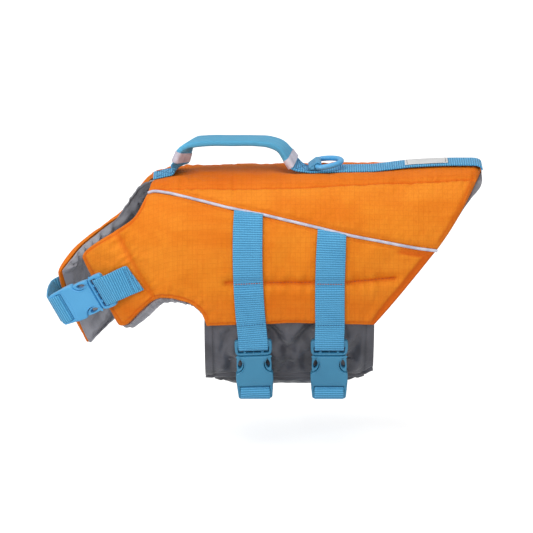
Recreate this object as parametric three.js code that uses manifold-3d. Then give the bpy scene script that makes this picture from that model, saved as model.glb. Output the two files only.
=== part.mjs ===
// A dog life jacket that stands filled out, as on a dog: padded back and side panels with
// front flaps, a grey lining, charcoal belly flaps, webbing straps with three side-release
// buckles, a carrying handle and a lead ring.
// Millimetres. +X points to the tail, +Y to the dog's right, +Z up. The origin lies on the
// dog's back, under the lining, above the middle of the belly flaps.
import * as THREE from 'three';
import { mergeVertices } from 'three/addons/utils/BufferGeometryUtils.js';
import Module from 'manifold-3d';

// Driving dimensions: cloth and foam
const FOAM = 7;
const LINING = 1.2;
const SEAM = 0.3;
const WALL = FOAM + SEAM + LINING;
const EDGE_THICKNESS = 2.5;
const EDGE_ROUNDING = 6;
const BELLY_CLOTH = 2;
const BELLY_SINK = 5;
const PIPING_RADIUS = 1.3;

// Driving dimensions: webbing, handle, ring and buckles
const WEBBING_WIDTH = 25.4;
const WEBBING_THICKNESS = 1.6;
const GRIP_WIDTH = 24;
const GRIP_THICKNESS = 4.2;
const WRAP_WIDTH = 25.6;
const WRAP_THICKNESS = 5;
const RING_WIDTH = 36;
const RING_DEPTH = 25;
const RING_RADIUS = 2.15;
const RING_X = 23.3;
const RING_RISE = THREE.MathUtils.degToRad(7);
const KEEPER_WIDTH = 22;
const KEEPER_THICKNESS = 1.1;
const BUCKLE_WIDTH = 32;
const BUCKLE_LENGTH = 56.5;
const PLUG_LENGTH = 14.5;
const BUCKLE_THICKNESS = 8;
const FRAME_THICKNESS = 4.5;

// The jacket's edges are given by x and by drop: how far below the spine line they lie in a
// side view that looks down on the jacket by this tilt.
const TILT = THREE.MathUtils.degToRad(15);

const NEAR = -1;
const FAR = 1;

// A list of rows with named columns.
function table(names, rows) {
  return rows.map((row) => Object.fromEntries(names.map((name, k) => [name, row[k]])));
}

// Cross sections of the outer face. Levels are heights above the spine line, and near and
// far are the half-widths on the two sides.
const SECTIONS = table(['x', 'top', 'widest', 'belly', 'near', 'far'], [
  [-214, -20, -88, -200, 13, 5],
  [-202, -19, -87, -199, 17, 12],
  [-190, -17, -86, -198, 23, 28],
  [-179, -15, -85, -197, 30, 37.5],
  [-165, -12, -83, -196, 40, 47],
  [-150, -10, -80, -195, 48.5, 54],
  [-135, -9, -77, -192, 56, 59.5],
  [-119, -6.5, -75, -190, 62, 63],
  [-100, -2.5, -75, -189, 66, 66],
  [-72, -2, -75, -193.5, 69, 69],
  [-50, -1.5, -75, -198.5, 70, 70],
  [0, -1, -75, -199.5, 70, 70],
  [45, 0, -75, -197.5, 69, 69],
  [72, 0.5, -75, -190.5, 66, 66],
  [100, 1, -74, -184, 63, 63],
  [135, 2.5, -73, -178, 58, 58],
  [172, 2.5, -72, -175, 53, 53],
]);
const TOP_ROUNDNESS = 2.35;
const BELLY_ROUNDNESS = 2.2;

// Each row is one line down a side panel: its upper end on the neckline or the piping, a
// middle point on the lower quilting line, its lower end on the flap, armhole or hem, how
// far the lining hangs below that, and the mesh columns up to the next row.
const PANEL_COLUMNS = ['xTop', 'dropTop', 'xMid', 'dropMid', 'xHem', 'dropHem', 'skirt', 'parts', 'corner'];
const NEAR_FLAP = table(PANEL_COLUMNS, [
  [-182, 77, -171.2, 101.8, -150.5, 139.3, 2, 2, false],
  [-173.1, 69.3, -158.2, 101.8, -142, 137.7, 5, 2, false],
  [-158.2, 60, -139.8, 101.8, -129.2, 125.5, 8, 1, false],
  [-151.8, 55.7, -126.5, 101.8, -117.2, 116.2, 8, 2, false],
  [-135.5, 44, -109.8, 101.8, -104, 114.8, 6.5, 2, false],
]);
const FAR_FLAP = table(PANEL_COLUMNS, [
  [-204.8, 93.8, -199, 125, -180.8, 168.5, 1, 2, false],
  [-196, 86.2, -189, 122, -173.7, 162.5, 2, 2, false],
  [-179.2, 78.5, -171.4, 116, -159.6, 153, 3, 1, false],
  [-165.8, 72, -156, 111, -146.2, 143.5, 4, 2, false],
  [-146, 60, -128, 105, -119, 125.5, 5, 2, false],
]);
const BODY_SIDE = table(PANEL_COLUMNS, [
  [-124.6, 23.8, -97, 101.8, -91.5, 117.3, 4.5, 1, true],
  [-116, 21.7, -91.5, 101.8, -86.3, 119.4, 3.5, 2, false],
  [-97, 25.2, -82.3, 101.8, -77.5, 126.8, 3, 2, false],
  [-74, 31, -73, 101.8, -72.4, 137.8, 0, 2, true],
  [-48.8, 37.4, -48.9, 101.8, -46.6, 137, 0, 2, false],
  [-23.5, 42.6, -23.8, 101.8, -21, 136.3, 0, 2, false],
  [-1, 48, -1.3, 101.8, 0, 135.2, 0, 2, false],
  [23, 53.8, 21.1, 101.8, 20.8, 135.7, 0, 2, false],
  [48.3, 60.1, 46.5, 101.8, 45.9, 136.3, 0, 3, false],
  [78, 66, 71, 99.5, 58, 136.6, 0, 3, false],
  [105, 71.2, 93.5, 97.3, 67, 136.9, 0, 3, false],
  [122.7, 74, 107, 96.3, 72.2, 137, 0, 0, true],
]);
// The same lines carried up over the back, from the piping to the spine.
const BODY_BACK = table(['xSpine', 'xQuilt'], [
  [-117.5, -123],
  [-109, -113.5],
  [-91, -94.5],
  [-71, -73],
  [-48.8, -48.8],
  [-23.5, -23.5],
  [-1, -1],
  [23, 23],
  [50, 49.5],
  [92, 88],
  [138, 130],
  [165, 158.3],
]);
const FLAP_ROWS = NEAR_FLAP.length;
const FIRST_STRAP_ROWS = [FLAP_ROWS + 4, FLAP_ROWS + 5];
const SECOND_STRAP_ROWS = [FLAP_ROWS + 7, FLAP_ROWS + 8];

// Quilting on the back, by drop, and the hem line that the belly flaps hang from.
const BACK_QUILT = table(['x', 'drop'], [[-124, 18.3], [0, 17.4], [50, 14.8], [100, 12.7], [160, 9.9]]);
const HEM = table(['x', 'drop'], [
  [-74, 137.8], [-46.6, 137], [-21, 136.3], [0, 135.2], [20.8, 135.7], [45.9, 136.3], [74, 137],
]);

// Shares of the way from the upper end of a panel line to its middle, and on to its hem.
const UPPER_ROWS = [0, 0.03, 0.1, 0.28, 0.46, 0.64, 0.8, 0.92, 1];
const LOWER_ROWS = [0.22, 0.5, 0.78, 0.93, 1];
const BACK_ROWS = [0.2, 0.55, 0.86, 0.97, 1];
// The lining keeps some of the same rows.
const LINING_UPPER_ROWS = [0, 1, 2, 3, 5, 8].map((row) => UPPER_ROWS[row]);
const LINING_BACK_ROWS = [BACK_ROWS[0], BACK_ROWS[1]];

// Troughs pressed into the padding.
const QUILT_DEPTH = 2.8;
const QUILT_WIDTH = 4.5;
const VALLEY_WIDTH = 16;
const VALLEY_DEPTH = 4;

const clamp = (value, low, high) => Math.min(Math.max(value, low), high);
const mix = (a, b, share) => a + (b - a) * share;
const smooth = (share) => {
  const t = clamp(share, 0, 1);
  return t * t * (3 - 2 * t);
};

// A smooth curve through the rows of a table, read at x.
function tableAt(rows, column, x) {
  const last = rows.length - 1;
  let k = 0;
  while (k < last - 1 && x > rows[k + 1].x) k += 1;
  const slope = (i) => {
    const a = rows[Math.max(i - 1, 0)];
    const b = rows[Math.min(i + 1, last)];
    return (b[column] - a[column]) / (b.x - a.x);
  };
  const span = rows[k + 1].x - rows[k].x;
  const t = clamp((x - rows[k].x) / span, 0, 1);
  const bend = t * t * (3 - 2 * t);
  return (
    mix(rows[k][column], rows[k + 1][column], bend) +
    span * t * (1 - t) * ((1 - t) * slope(k) - t * slope(k + 1))
  );
}

// A smooth curve through the rows of a panel table, read at a row number with a fraction.
// It may turn sharply at a corner row.
function rowAt(rows, column, place) {
  const last = rows.length - 1;
  const k = Math.min(Math.floor(place), last - 1);
  const t = place - k;
  const step = rows[k + 1][column] - rows[k][column];
  const slopeIn = rows[k].corner || k === 0 ? step : (rows[k + 1][column] - rows[k - 1][column]) / 2;
  const slopeOut =
    rows[k + 1].corner || k + 1 === last ? step : (rows[k + 2][column] - rows[k][column]) / 2;
  const bend = t * t * (3 - 2 * t);
  return mix(rows[k][column], rows[k + 1][column], bend) + t * (1 - t) * ((1 - t) * slopeIn - t * slopeOut);
}

// The torso's outer face. A point is named by x and by girth: the distance along the cloth
// from the spine, negative on the near side.
const SECTION_STEPS = 72;
const sectionCache = new Map();

function sectionAt(x, side) {
  const key = `${x.toFixed(5)} ${side}`;
  if (sectionCache.has(key)) return sectionCache.get(key);
  const top = tableAt(SECTIONS, 'top', x);
  const widest = tableAt(SECTIONS, 'widest', x);
  const belly = tableAt(SECTIONS, 'belly', x);
  const half = tableAt(SECTIONS, side === NEAR ? 'near' : 'far', x);
  const pointAt = (angle) => {
    const above = angle <= Math.PI / 2;
    const power = 2 / (above ? TOP_ROUNDNESS : BELLY_ROUNDNESS);
    const reach = above ? top - widest : belly - widest;
    return [
      half * Math.max(Math.sin(angle), 0) ** power,
      widest + reach * Math.abs(Math.cos(angle)) ** power,
    ];
  };
  const lengths = [0];
  let before = pointAt(0);
  for (let k = 1; k <= SECTION_STEPS; k += 1) {
    const here = pointAt((k / SECTION_STEPS) * Math.PI);
    lengths.push(lengths[k - 1] + Math.hypot(here[0] - before[0], here[1] - before[1]));
    before = here;
  }
  const section = { lengths, pointAt, half: lengths[SECTION_STEPS] };
  sectionCache.set(key, section);
  return section;
}

function sectionPoint(x, girth) {
  let side = girth < 0 ? NEAR : FAR;
  let length = Math.abs(girth);
  let section = sectionAt(x, side);
  if (length > section.half) {
    length = 2 * section.half - length;
    side = -side;
    section = sectionAt(x, side);
  }
  let k = 1;
  while (k < SECTION_STEPS && section.lengths[k] < length) k += 1;
  const share = (length - section.lengths[k - 1]) / (section.lengths[k] - section.lengths[k - 1]);
  const [y, level] = section.pointAt(((k - 1 + clamp(share, 0, 1)) / SECTION_STEPS) * Math.PI);
  return new THREE.Vector3(x, side * y, level + WALL);
}

// The point at x and girth, moved out from the face by an offset.
const NUDGE = 0.4;
function onBody(x, girth, offset) {
  const point = sectionPoint(x, girth);
  const along = sectionPoint(x + NUDGE, girth).sub(sectionPoint(x - NUDGE, girth));
  const around = sectionPoint(x, girth + NUDGE).sub(sectionPoint(x, girth - NUDGE));
  return point.addScaledVector(along.cross(around).normalize(), offset);
}

// The girth at which the face shows at a drop.
function girthAt(x, drop, side) {
  const section = sectionAt(x, side);
  let before = 0;
  for (let k = 1; k <= SECTION_STEPS; k += 1) {
    const [y, level] = section.pointAt((k / SECTION_STEPS) * Math.PI);
    const here = y * Math.sin(TILT) - level * Math.cos(TILT);
    if (here >= drop && k > 1) {
      return mix(section.lengths[k - 1], section.lengths[k], (drop - before) / (here - before));
    }
    before = here;
  }
  return section.half;
}

// A curve of x through three girths.
function throughThree(a, b, c) {
  const first = (b.x - a.x) / (b.girth - a.girth);
  const second = ((c.x - b.x) / (c.girth - b.girth) - first) / (c.girth - a.girth);
  return (girth) => a.x + (girth - a.girth) * (first + second * (girth - b.girth));
}

// The lines of one side, from the flap's front edge to the tail edge.
function sideLines(side) {
  const rows = [...(side === NEAR ? NEAR_FLAP : FAR_FLAP), ...BODY_SIDE];
  const lines = [];
  rows.forEach((row, k) => {
    const parts = k === rows.length - 1 ? 1 : row.parts;
    for (let part = 0; part < parts; part += 1) {
      const place = k + part / parts;
      const read = (column) => rowAt(rows, column, place);
      const top = { x: read('xTop') };
      const mid = { x: read('xMid') };
      const hem = { x: read('xHem') };
      top.girth = girthAt(top.x, read('dropTop'), side);
      mid.girth = girthAt(mid.x, read('dropMid'), side);
      hem.girth = girthAt(hem.x, read('dropHem'), side);
      const line = { place, top, mid, hem, skirt: read('skirt'), xAt: throughThree(top, mid, hem) };
      if (k >= FLAP_ROWS) {
        const spineRows = BODY_BACK.map((item, n) => ({ ...item, corner: BODY_SIDE[n].corner }));
        const spine = { x: rowAt(spineRows, 'xSpine', place - FLAP_ROWS), girth: 0 };
        const quilt = { x: rowAt(spineRows, 'xQuilt', place - FLAP_ROWS) };
        quilt.girth = girthAt(quilt.x, tableAt(BACK_QUILT, 'drop', quilt.x), side);
        line.quilt = quilt;
        line.xOverBack = throughThree(spine, quilt, top);
      }
      lines.push(line);
    }
  });
  return lines;
}

const LINES = { [NEAR]: sideLines(NEAR), [FAR]: sideLines(FAR) };

// Distance from a point to a polyline, all as x and girth.
function distanceTo(path, x, girth) {
  let nearest = Infinity;
  for (let k = 1; k < path.length; k += 1) {
    const a = path[k - 1];
    const b = path[k];
    const length = (b.x - a.x) ** 2 + (b.girth - a.girth) ** 2;
    const share = clamp(
      ((x - a.x) * (b.x - a.x) + (girth - a.girth) * (b.girth - a.girth)) / (length || 1), 0, 1);
    nearest = Math.min(nearest, Math.hypot(x - mix(a.x, b.x, share), girth - mix(a.girth, b.girth, share)));
  }
  return nearest;
}

// How deep the quilting presses the padding at a place. Girth counts from the spine.
function quilting(side, x, girth) {
  const lines = LINES[side];
  const press = (path) => QUILT_DEPTH * Math.exp(-((distanceTo(path, x, girth) / QUILT_WIDTH) ** 2));
  const backQuilt = lines.filter((line) => line.quilt).map((line) => line.quilt);
  const lowerQuilt = lines.filter((line) => line.mid.x > -58 && line.mid.x < 92).map((line) => line.mid);
  const crease = lines.find((line) => line.place === 3);
  const valley = VALLEY_DEPTH * smooth((110 - x) / 50) * smooth((x + 130) / 20);
  const pressed = Math.max(press(backQuilt), press(lowerQuilt), press([crease.top, crease.mid, crease.hem]));
  return pressed + valley * Math.exp(-((girth / VALLEY_WIDTH) ** 4));
}

// The padding's thickness at a distance from its edge.
function puff(fromEdge) {
  const inside = 1 - Math.min(fromEdge / EDGE_ROUNDING, 1);
  return mix(EDGE_THICKNESS, FOAM, Math.sqrt(1 - inside * inside));
}

// A closed solid between two grids of points of the same layout. A grid may have holes.
function solidBetween(outer, inner) {
  const points = [];
  const faces = [];
  const number = outer.map((column, i) => column.map((point, j) => {
    if (!point) return -1;
    points.push(point, inner[i][j]);
    return points.length - 2;
  }));
  const edges = new Map();
  for (let i = 0; i + 1 < outer.length; i += 1) {
    for (let j = 0; j + 1 < outer[i].length; j += 1) {
      const corners = [number[i][j], number[i + 1][j], number[i + 1][j + 1], number[i][j + 1]];
      if (corners.some((corner) => corner < 0)) continue;
      const [a, b, c, d] = corners;
      faces.push([a, b, c], [a, c, d], [c + 1, b + 1, a + 1], [d + 1, c + 1, a + 1]);
      corners.forEach((corner, k) => {
        const following = corners[(k + 1) % 4];
        edges.set(`${corner} ${following}`, [corner, following]);
      });
    }
  }
  edges.forEach(([a, b]) => {
    if (!edges.has(`${b} ${a}`)) faces.push([b, a, a + 1], [b, a + 1, b + 1]);
  });
  return closedGeometry(points, faces);
}

// A closed solid through a row of rings with the same number of points, with flat ends,
// or joined end to end.
function loft(rings, joined = false) {
  const count = rings[0].length;
  const points = rings.flat();
  const faces = [];
  const spans = joined ? rings.length : rings.length - 1;
  for (let i = 0; i < spans; i += 1) {
    const next = (i + 1) % rings.length;
    for (let j = 0; j < count; j += 1) {
      const k = (j + 1) % count;
      const [a, b, c, d] = [i * count + j, i * count + k, next * count + k, next * count + j];
      faces.push([a, b, c], [a, c, d]);
    }
  }
  if (!joined) {
    const end = (rings.length - 1) * count;
    for (let j = 2; j < count; j += 1) {
      const k = (j + 1) % count;
      faces.push([1, k, j], [end + 1, end + j, end + k]);
    }
  }
  return closedGeometry(points, faces);
}

// The triangles as a geometry whose faces point out.
function closedGeometry(points, faces) {
  let volume = 0;
  faces.forEach(([a, b, c]) => {
    volume += points[a].dot(points[b].clone().cross(points[c]));
  });
  const turned = volume < 0 ? faces.map(([a, b, c]) => [a, c, b]) : faces;
  const geometry = new THREE.BufferGeometry();
  geometry.setAttribute('position', new THREE.Float32BufferAttribute(points.flatMap((p) => p.toArray()), 3));
  geometry.setIndex(turned.flat());
  return geometry;
}

// The padded panels. Each grid point keeps its x, its girth and its outer offset.
function paddedGrid(side, columns) {
  const count = columns.length;
  const rows = columns[0].length;
  const edge = [
    ...columns.map((column) => column[0]),
    ...columns[count - 1],
    ...columns.map((column) => column[rows - 1]).reverse(),
    ...[...columns[0]].reverse(),
  ];
  return columns.map((column) => column.map(({ x, girth }) => {
    const thickness = puff(distanceTo(edge, x, girth));
    const pressed = quilting(side || FAR, x, Math.abs(girth));
    return { x, girth, outer: Math.max(thickness - pressed, EDGE_THICKNESS) - FOAM };
  }));
}

function sidePanelColumns(side) {
  return LINES[side].map(({ top, mid, hem, xAt }) => {
    const start = top.girth + SEAM / 2;
    const girths = [
      ...UPPER_ROWS.map((share) => mix(start, mid.girth, share)),
      ...LOWER_ROWS.map((share) => mix(mid.girth, hem.girth, share)),
    ];
    return girths.map((girth) => ({ x: xAt(girth), girth }));
  });
}

function backPanelColumns() {
  return LINES[NEAR].filter((line) => line.quilt).map(({ quilt, top, xOverBack }) => {
    const half = [
      0,
      WEBBING_WIDTH / 2,
      mix(WEBBING_WIDTH / 2, quilt.girth, 0.5),
      quilt.girth,
      ...BACK_ROWS.map((share) => mix(quilt.girth, top.girth - SEAM / 2, share)),
    ];
    const girths = [...half.slice(1).reverse().map((girth) => -girth), ...half];
    return girths.map((girth) => ({ x: xOverBack(Math.abs(girth)), girth }));
  });
}

const placeAll = (grid, offset) =>
  grid.map((column) => column.map((item) => item && onBody(item.x, item.girth, offset(item))));

const backGrid = paddedGrid(0, backPanelColumns());
const sideGrids = {
  [NEAR]: paddedGrid(NEAR, sidePanelColumns(NEAR)),
  [FAR]: paddedGrid(FAR, sidePanelColumns(FAR)),
};

function backPanel() {
  return solidBetween(placeAll(backGrid, (item) => item.outer), placeAll(backGrid, () => -FOAM));
}

function sidePanel(side) {
  const grid = sideGrids[side].map((column) => column.map((item) => ({ ...item, girth: side * item.girth })));
  return solidBetween(placeAll(grid, (item) => item.outer), placeAll(grid, () => -FOAM));
}

// The lining lies under the panels. It shows past them at the armhole and at the tail.
const TAIL_SHOW = 5;
const tailShow = (girth) => 0.2 + TAIL_SHOW * Math.exp(-(((girth - 30) / 18) ** 2));
function lining(side) {
  const columns = LINES[side].map(({ top, mid, hem, skirt, quilt, xAt, xOverBack }) => {
    const girths = [
      ...LINING_UPPER_ROWS.map((share) => mix(top.girth + SEAM / 2, mid.girth, share)),
      mix(mid.girth, hem.girth, LOWER_ROWS[1]),
      hem.girth + (skirt || -1),
    ];
    const below = girths.map((girth) => ({ x: xAt(girth), girth }));
    if (!quilt) return [null, null, null, null, ...below];
    const above = [
      SEAM / 2,
      quilt.girth,
      ...LINING_BACK_ROWS.map((share) => mix(quilt.girth, top.girth - SEAM / 2, share)),
    ];
    return [...above.map((girth) => ({ x: xOverBack(girth), girth })), ...below];
  });
  const tail = columns[columns.length - 1];
  columns.push(tail.map(({ x, girth }) => ({ x: x + tailShow(girth), girth })));
  const grid = columns.map((column) => column.map((item) => item && { x: item.x, girth: side * item.girth }));
  return solidBetween(placeAll(grid, () => LINING - WALL), placeAll(grid, () => -WALL));
}

// The piping lies in the groove between the back panel and a side panel.
function piping(side) {
  const sunk = 1.1;
  const sides = 6;
  const seam = LINES[side].filter((line) => line.quilt).map(({ top }) => ({ x: top.x, girth: top.girth }));
  const rings = seam.map(({ x, girth }, k) => {
    const centre = onBody(x, side * girth, -sunk);
    const out = onBody(x, side * girth, 1).sub(centre).normalize();
    const a = seam[Math.max(k - 1, 0)];
    const b = seam[Math.min(k + 1, seam.length - 1)];
    const ahead = onBody(b.x, side * b.girth, -sunk).sub(onBody(a.x, side * a.girth, -sunk)).normalize();
    const across = ahead.clone().cross(out).normalize();
    return Array.from({ length: sides }, (_, n) => {
      const angle = (n / sides) * 2 * Math.PI;
      return centre.clone()
        .addScaledVector(out, PIPING_RADIUS * Math.cos(angle))
        .addScaledVector(across, PIPING_RADIUS * Math.sin(angle));
    });
  });
  return loft(rings);
}

// The belly flaps hang from the hems. The far one passes under the belly and tucks inside
// the near one. Their ends are bound.
const BINDING = 8;
const FLAP_FRONT = -72;
const FLAP_TAIL = 72;
const FOLDS = table(['x0', 'drop0', 'x1', 'drop1', 'depth', 'width'], [
  [-20, 139, -5, 162, 3, 6],
  [21, 138, 4, 158, 3, 6],
  [-4, 160, -4, 184, 2, 5],
  [-62, 172, -52, 150, 1.5, 5],
  [62, 150, 55, 176, 1.5, 5],
]);

function foldDepth(x, fromSpine, start) {
  const half = sectionAt(x, NEAR).half;
  const girth = Math.min(fromSpine, 2 * half - fromSpine);
  return FOLDS.reduce((sum, fold) => {
    const path = [
      { x: fold.x0, girth: girthAt(fold.x0, fold.drop0, NEAR) },
      { x: fold.x1, girth: girthAt(fold.x1, fold.drop1, NEAR) },
    ];
    return sum + fold.depth * Math.exp(-((distanceTo(path, x, girth) / fold.width) ** 2));
  }, 0) * smooth((girth - start) / 12);
}

function bellyFlap(side) {
  const tuck = BELLY_CLOTH + 1.4;
  const inset = side === NEAR ? 0 : 7;
  const xs = [-72, -64, -50, -36, -20, -5, 5, 20, 34, 48, 64, 72];
  const shares = side === NEAR
    ? [0, 0.12, 0.28, 0.44, 0.6, 0.75, 0.9, 1]
    : [0, 0.08, 0.18, 0.28, 0.38, 0.48, 0.58, 0.68, 0.78, 0.86, 0.94, 1];
  const grid = xs.map((x) => {
    const start = girthAt(x, tableAt(HEM, 'drop', x), side) + 2 * SEAM;
    const half = sectionAt(x, side).half;
    const edgeDrop = 186 - 3 * smooth((Math.abs(x) - 50) / 22);
    const end = side === NEAR ? girthAt(x, edgeDrop, side) : 2 * half - girthAt(x, 170, NEAR);
    return shares.map((share) => {
      const girth = mix(start, end, share);
      const narrow = (inset * smooth((girth - start) / 60) * x) / FLAP_TAIL;
      const sink = side === NEAR ? 0 : tuck * smooth((girth - start) / 50);
      const bound = Math.min(x - FLAP_FRONT, FLAP_TAIL - x) < BINDING + 0.1 ? 0 : 0.4;
      const offset = -BELLY_SINK - sink - foldDepth(x, girth, start);
      return { x: x - narrow, girth: side * girth, offset, bound };
    });
  });
  return solidBetween(
    placeAll(grid, (item) => item.offset - item.bound),
    placeAll(grid, (item) => item.offset - BELLY_CLOTH),
  );
}

// A ring of points round a flat band: across is half its width, out half its thickness.
function bandRing(at, across, out) {
  return [[-1, -1], [0, -1], [1, -1], [1, 1], [0, 1], [-1, 1]].map(([w, t]) =>
    at.clone().addScaledVector(across, w).addScaledVector(out, t));
}

// The rings of a band along free stations, each with a place and a direction across.
function bandRings(stations, width, thickness, shape = bandRing) {
  return stations.map(({ at, across }, k) => {
    const before = stations[Math.max(k - 1, 0)].at;
    const after = stations[Math.min(k + 1, stations.length - 1)].at;
    const out = after.clone().sub(before).cross(across).normalize();
    const square = out.clone().cross(after.clone().sub(before)).normalize();
    return shape(at, square.multiplyScalar(width / 2), out.multiplyScalar(thickness / 2));
  });
}

// The rings of a strap that lies on padding, from three neighbouring points of each row.
const STRAP_FLOOR = -2;
const SPINE_FLOOR = -3.5;
function lyingRings(rows, side, floor = STRAP_FLOOR) {
  return rows.map((row) => {
    const place = (item, lift) =>
      onBody(item.x, side * item.girth, Math.max(item.outer, floor) + SEAM + lift);
    const inner = row.map((item) => place(item, 0));
    const outer = row.map((item) => place(item, WEBBING_THICKNESS));
    return [...inner, ...outer.reverse()];
  });
}

// A buckle's own frame: across it, along it from plug to socket, and out from its face.
function buckleFrame(start, along, across) {
  const frame = { start, along: along.clone().normalize() };
  frame.out = frame.along.clone().cross(across).normalize();
  frame.across = frame.out.clone().cross(frame.along).normalize();
  frame.matrix = new THREE.Matrix4().makeBasis(frame.across, frame.along, frame.out).setPosition(start);
  frame.at = (length, rise) =>
    start.clone().addScaledVector(frame.along, length).addScaledVector(frame.out, rise);
  return frame;
}

const BELLY_BUCKLE_TILT = THREE.MathUtils.degToRad(12);
const BELLY_BUCKLES = table(['name', 'x', 'lean', 'rows'], [
  ['front', -32.3, 0.04, FIRST_STRAP_ROWS],
  ['rear', 33.4, 0, SECOND_STRAP_ROWS],
]);
function bellyBuckleFrame({ x, lean }) {
  return buckleFrame(
    new THREE.Vector3(x, -61, -139 + WALL),
    new THREE.Vector3(lean, Math.sin(BELLY_BUCKLE_TILT), -Math.cos(BELLY_BUCKLE_TILT)),
    new THREE.Vector3(-1, 0, 0),
  );
}
const chestFrame = buckleFrame(
  new THREE.Vector3(-156, -52.2, -95.5 + WALL),
  new THREE.Vector3(-0.81, 0.377, -0.454),
  new THREE.Vector3(-0.485, 0.01, 0.874),
);

// The webbing's way round the bars of a buckle, as length and rise in its own frame. A strap
// comes in over the outer face and ends behind the bar.
const LOOP = FRAME_THICKNESS / 2 + SEAM + WEBBING_THICKNESS / 2;
const PLUG_BAR = 6.2;
const SOCKET_BAR = [49, 53.5];
const CORNER = LOOP * Math.SQRT1_2;
const PLUG_LOOP = [
  [2, -LOOP], [PLUG_BAR, -LOOP], [PLUG_BAR + CORNER, -CORNER], [PLUG_BAR + LOOP, 0],
  [PLUG_BAR + CORNER, CORNER], [PLUG_BAR, LOOP], [4.5, LOOP],
];
const SOCKET_LOOP = [
  [SOCKET_BAR[1] + LOOP, 0], [SOCKET_BAR[1] + CORNER, -CORNER], [SOCKET_BAR[1], -LOOP],
  [SOCKET_BAR[0], -LOOP], [SOCKET_BAR[0] - CORNER, -CORNER], [SOCKET_BAR[0] - LOOP, 0],
  [SOCKET_BAR[0] - CORNER, CORNER], [SOCKET_BAR[0], LOOP], [SOCKET_BAR[0] + 3, LOOP],
];
const loopStations = (frame, loop) =>
  loop.map(([length, rise]) => ({ at: frame.at(length, rise), across: frame.across }));

// Rows of three neighbouring grid points under a strap, leaving out the rim.
function strapRows(side, [first, last]) {
  const lines = LINES[side];
  const from = lines.findIndex((line) => line.place === first);
  const to = lines.findIndex((line) => line.place === last);
  const columns = sideGrids[side].slice(from, to + 1);
  return columns[0].map((_, j) => columns.map((column) => column[j])).slice(1, -1);
}

function sideStrap(buckle) {
  const frame = bellyBuckleFrame(buckle);
  const onPanel = lyingRings(strapRows(NEAR, buckle.rows), NEAR);
  const free = bandRings(loopStations(frame, PLUG_LOOP), WEBBING_WIDTH, WEBBING_THICKNESS);
  return loft([...onPanel, ...inOrderOf(onPanel[onPanel.length - 1], free, free[0])]);
}

// Puts the points of free rings in the order of the lying ring that they join on to.
const RING_ORDERS = [[0, 1, 2, 3, 4, 5], [2, 1, 0, 5, 4, 3], [3, 4, 5, 0, 1, 2], [5, 4, 3, 2, 1, 0]];
function inOrderOf(lying, rings, nearest) {
  const gap = (order) => order.reduce((sum, from, to) => sum + nearest[from].distanceTo(lying[to]), 0);
  const best = RING_ORDERS.reduce((a, b) => (gap(b) < gap(a) ? b : a));
  return rings.map((ring) => best.map((from) => ring[from]));
}

const UNDER_BELLY = table(['y', 'level'], [
  [66.5, -137], [64.5, -150], [58, -170], [46, -188], [25, -199], [0, -202], [-24, -200.5], [-38, -197.5],
]);

function girthStrap(buckle) {
  const frame = bellyBuckleFrame(buckle);
  const rows = strapRows(FAR, buckle.rows);
  const onPanel = lyingRings(rows, FAR);
  const hemX = rows[rows.length - 1][1].x;
  const across = new THREE.Vector3(1, 0, 0);
  const under = UNDER_BELLY.map(({ y, level }, k) => ({
    at: new THREE.Vector3(mix(hemX, buckle.x + 2, k / UNDER_BELLY.length), y, level + WALL), across,
  }));
  const stations = [...under, ...loopStations(frame, SOCKET_LOOP).map(({ at }) => ({ at, across }))];
  const free = bandRings(stations, WEBBING_WIDTH, WEBBING_THICKNESS);
  return loft([...onPanel, ...inOrderOf(onPanel[onPanel.length - 1], free, free[0])]);
}

// The chest strap lies on the flaps at its two ends, along a straight line on the cloth.
const CHEST_NEAR = table(['x', 'drop', 'lift'], [
  [-133, 96.6, 0], [-138, 98.5, 0], [-143, 100.3, 0.3], [-147.5, 101.9, 1.2],
]);
const CHEST_FAR = table(['x', 'drop', 'lift'], [
  [-152, 108.3, 0], [-160, 110, 0], [-169, 112, 0], [-178, 114.3, 0], [-186, 116.5, 0], [-193, 118.5, 0],
]);
const CHEST_FRONT = table(['x', 'y', 'level'], [
  [-204.6, -22, -122.3], [-205.2, -12, -122], [-205.2, 0, -121], [-203.8, 12, -119.5], [-199.8, 21.5, -117.6],
]);

// Three points across the strap at each row of its line over a flap.
function flapRows(rows, side) {
  const line = rows.map(({ x, drop }) => ({ x, girth: girthAt(x, drop, side) }));
  return line.map(({ x, girth }, k) => {
    const before = line[Math.max(k - 1, 0)];
    const after = line[Math.min(k + 1, line.length - 1)];
    const length = Math.hypot(after.x - before.x, after.girth - before.girth);
    const across = { x: (before.girth - after.girth) / length, girth: (after.x - before.x) / length };
    return [-1, 0, 1].map((share) => ({
      x: x + (share * WEBBING_WIDTH * across.x) / 2,
      girth: girth + (share * WEBBING_WIDTH * across.girth) / 2,
      outer: 0.2 + rows[k].lift,
    }));
  });
}

function chestStrapNear() {
  const onFlap = lyingRings(flapRows(CHEST_NEAR, NEAR), NEAR);
  const stations = loopStations(chestFrame, [[-0.6, -LOOP - 0.2], ...PLUG_LOOP]);
  const free = bandRings(stations, WEBBING_WIDTH, WEBBING_THICKNESS);
  return loft([...onFlap, ...inOrderOf(onFlap[onFlap.length - 1], free, free[0])]);
}

function chestStrapFar() {
  const onFlap = lyingRings(flapRows(CHEST_FAR, FAR), FAR);
  const stations = [
    ...[...CHEST_FRONT].reverse().map(({ x, y, level }) => ({
      at: new THREE.Vector3(x, y, level + WALL), across: chestFrame.across,
    })),
    ...loopStations(chestFrame, SOCKET_LOOP),
  ];
  const free = bandRings(stations, WEBBING_WIDTH, WEBBING_THICKNESS);
  return loft([...onFlap, ...inOrderOf(onFlap[onFlap.length - 1], free, free[0])]);
}

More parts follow.
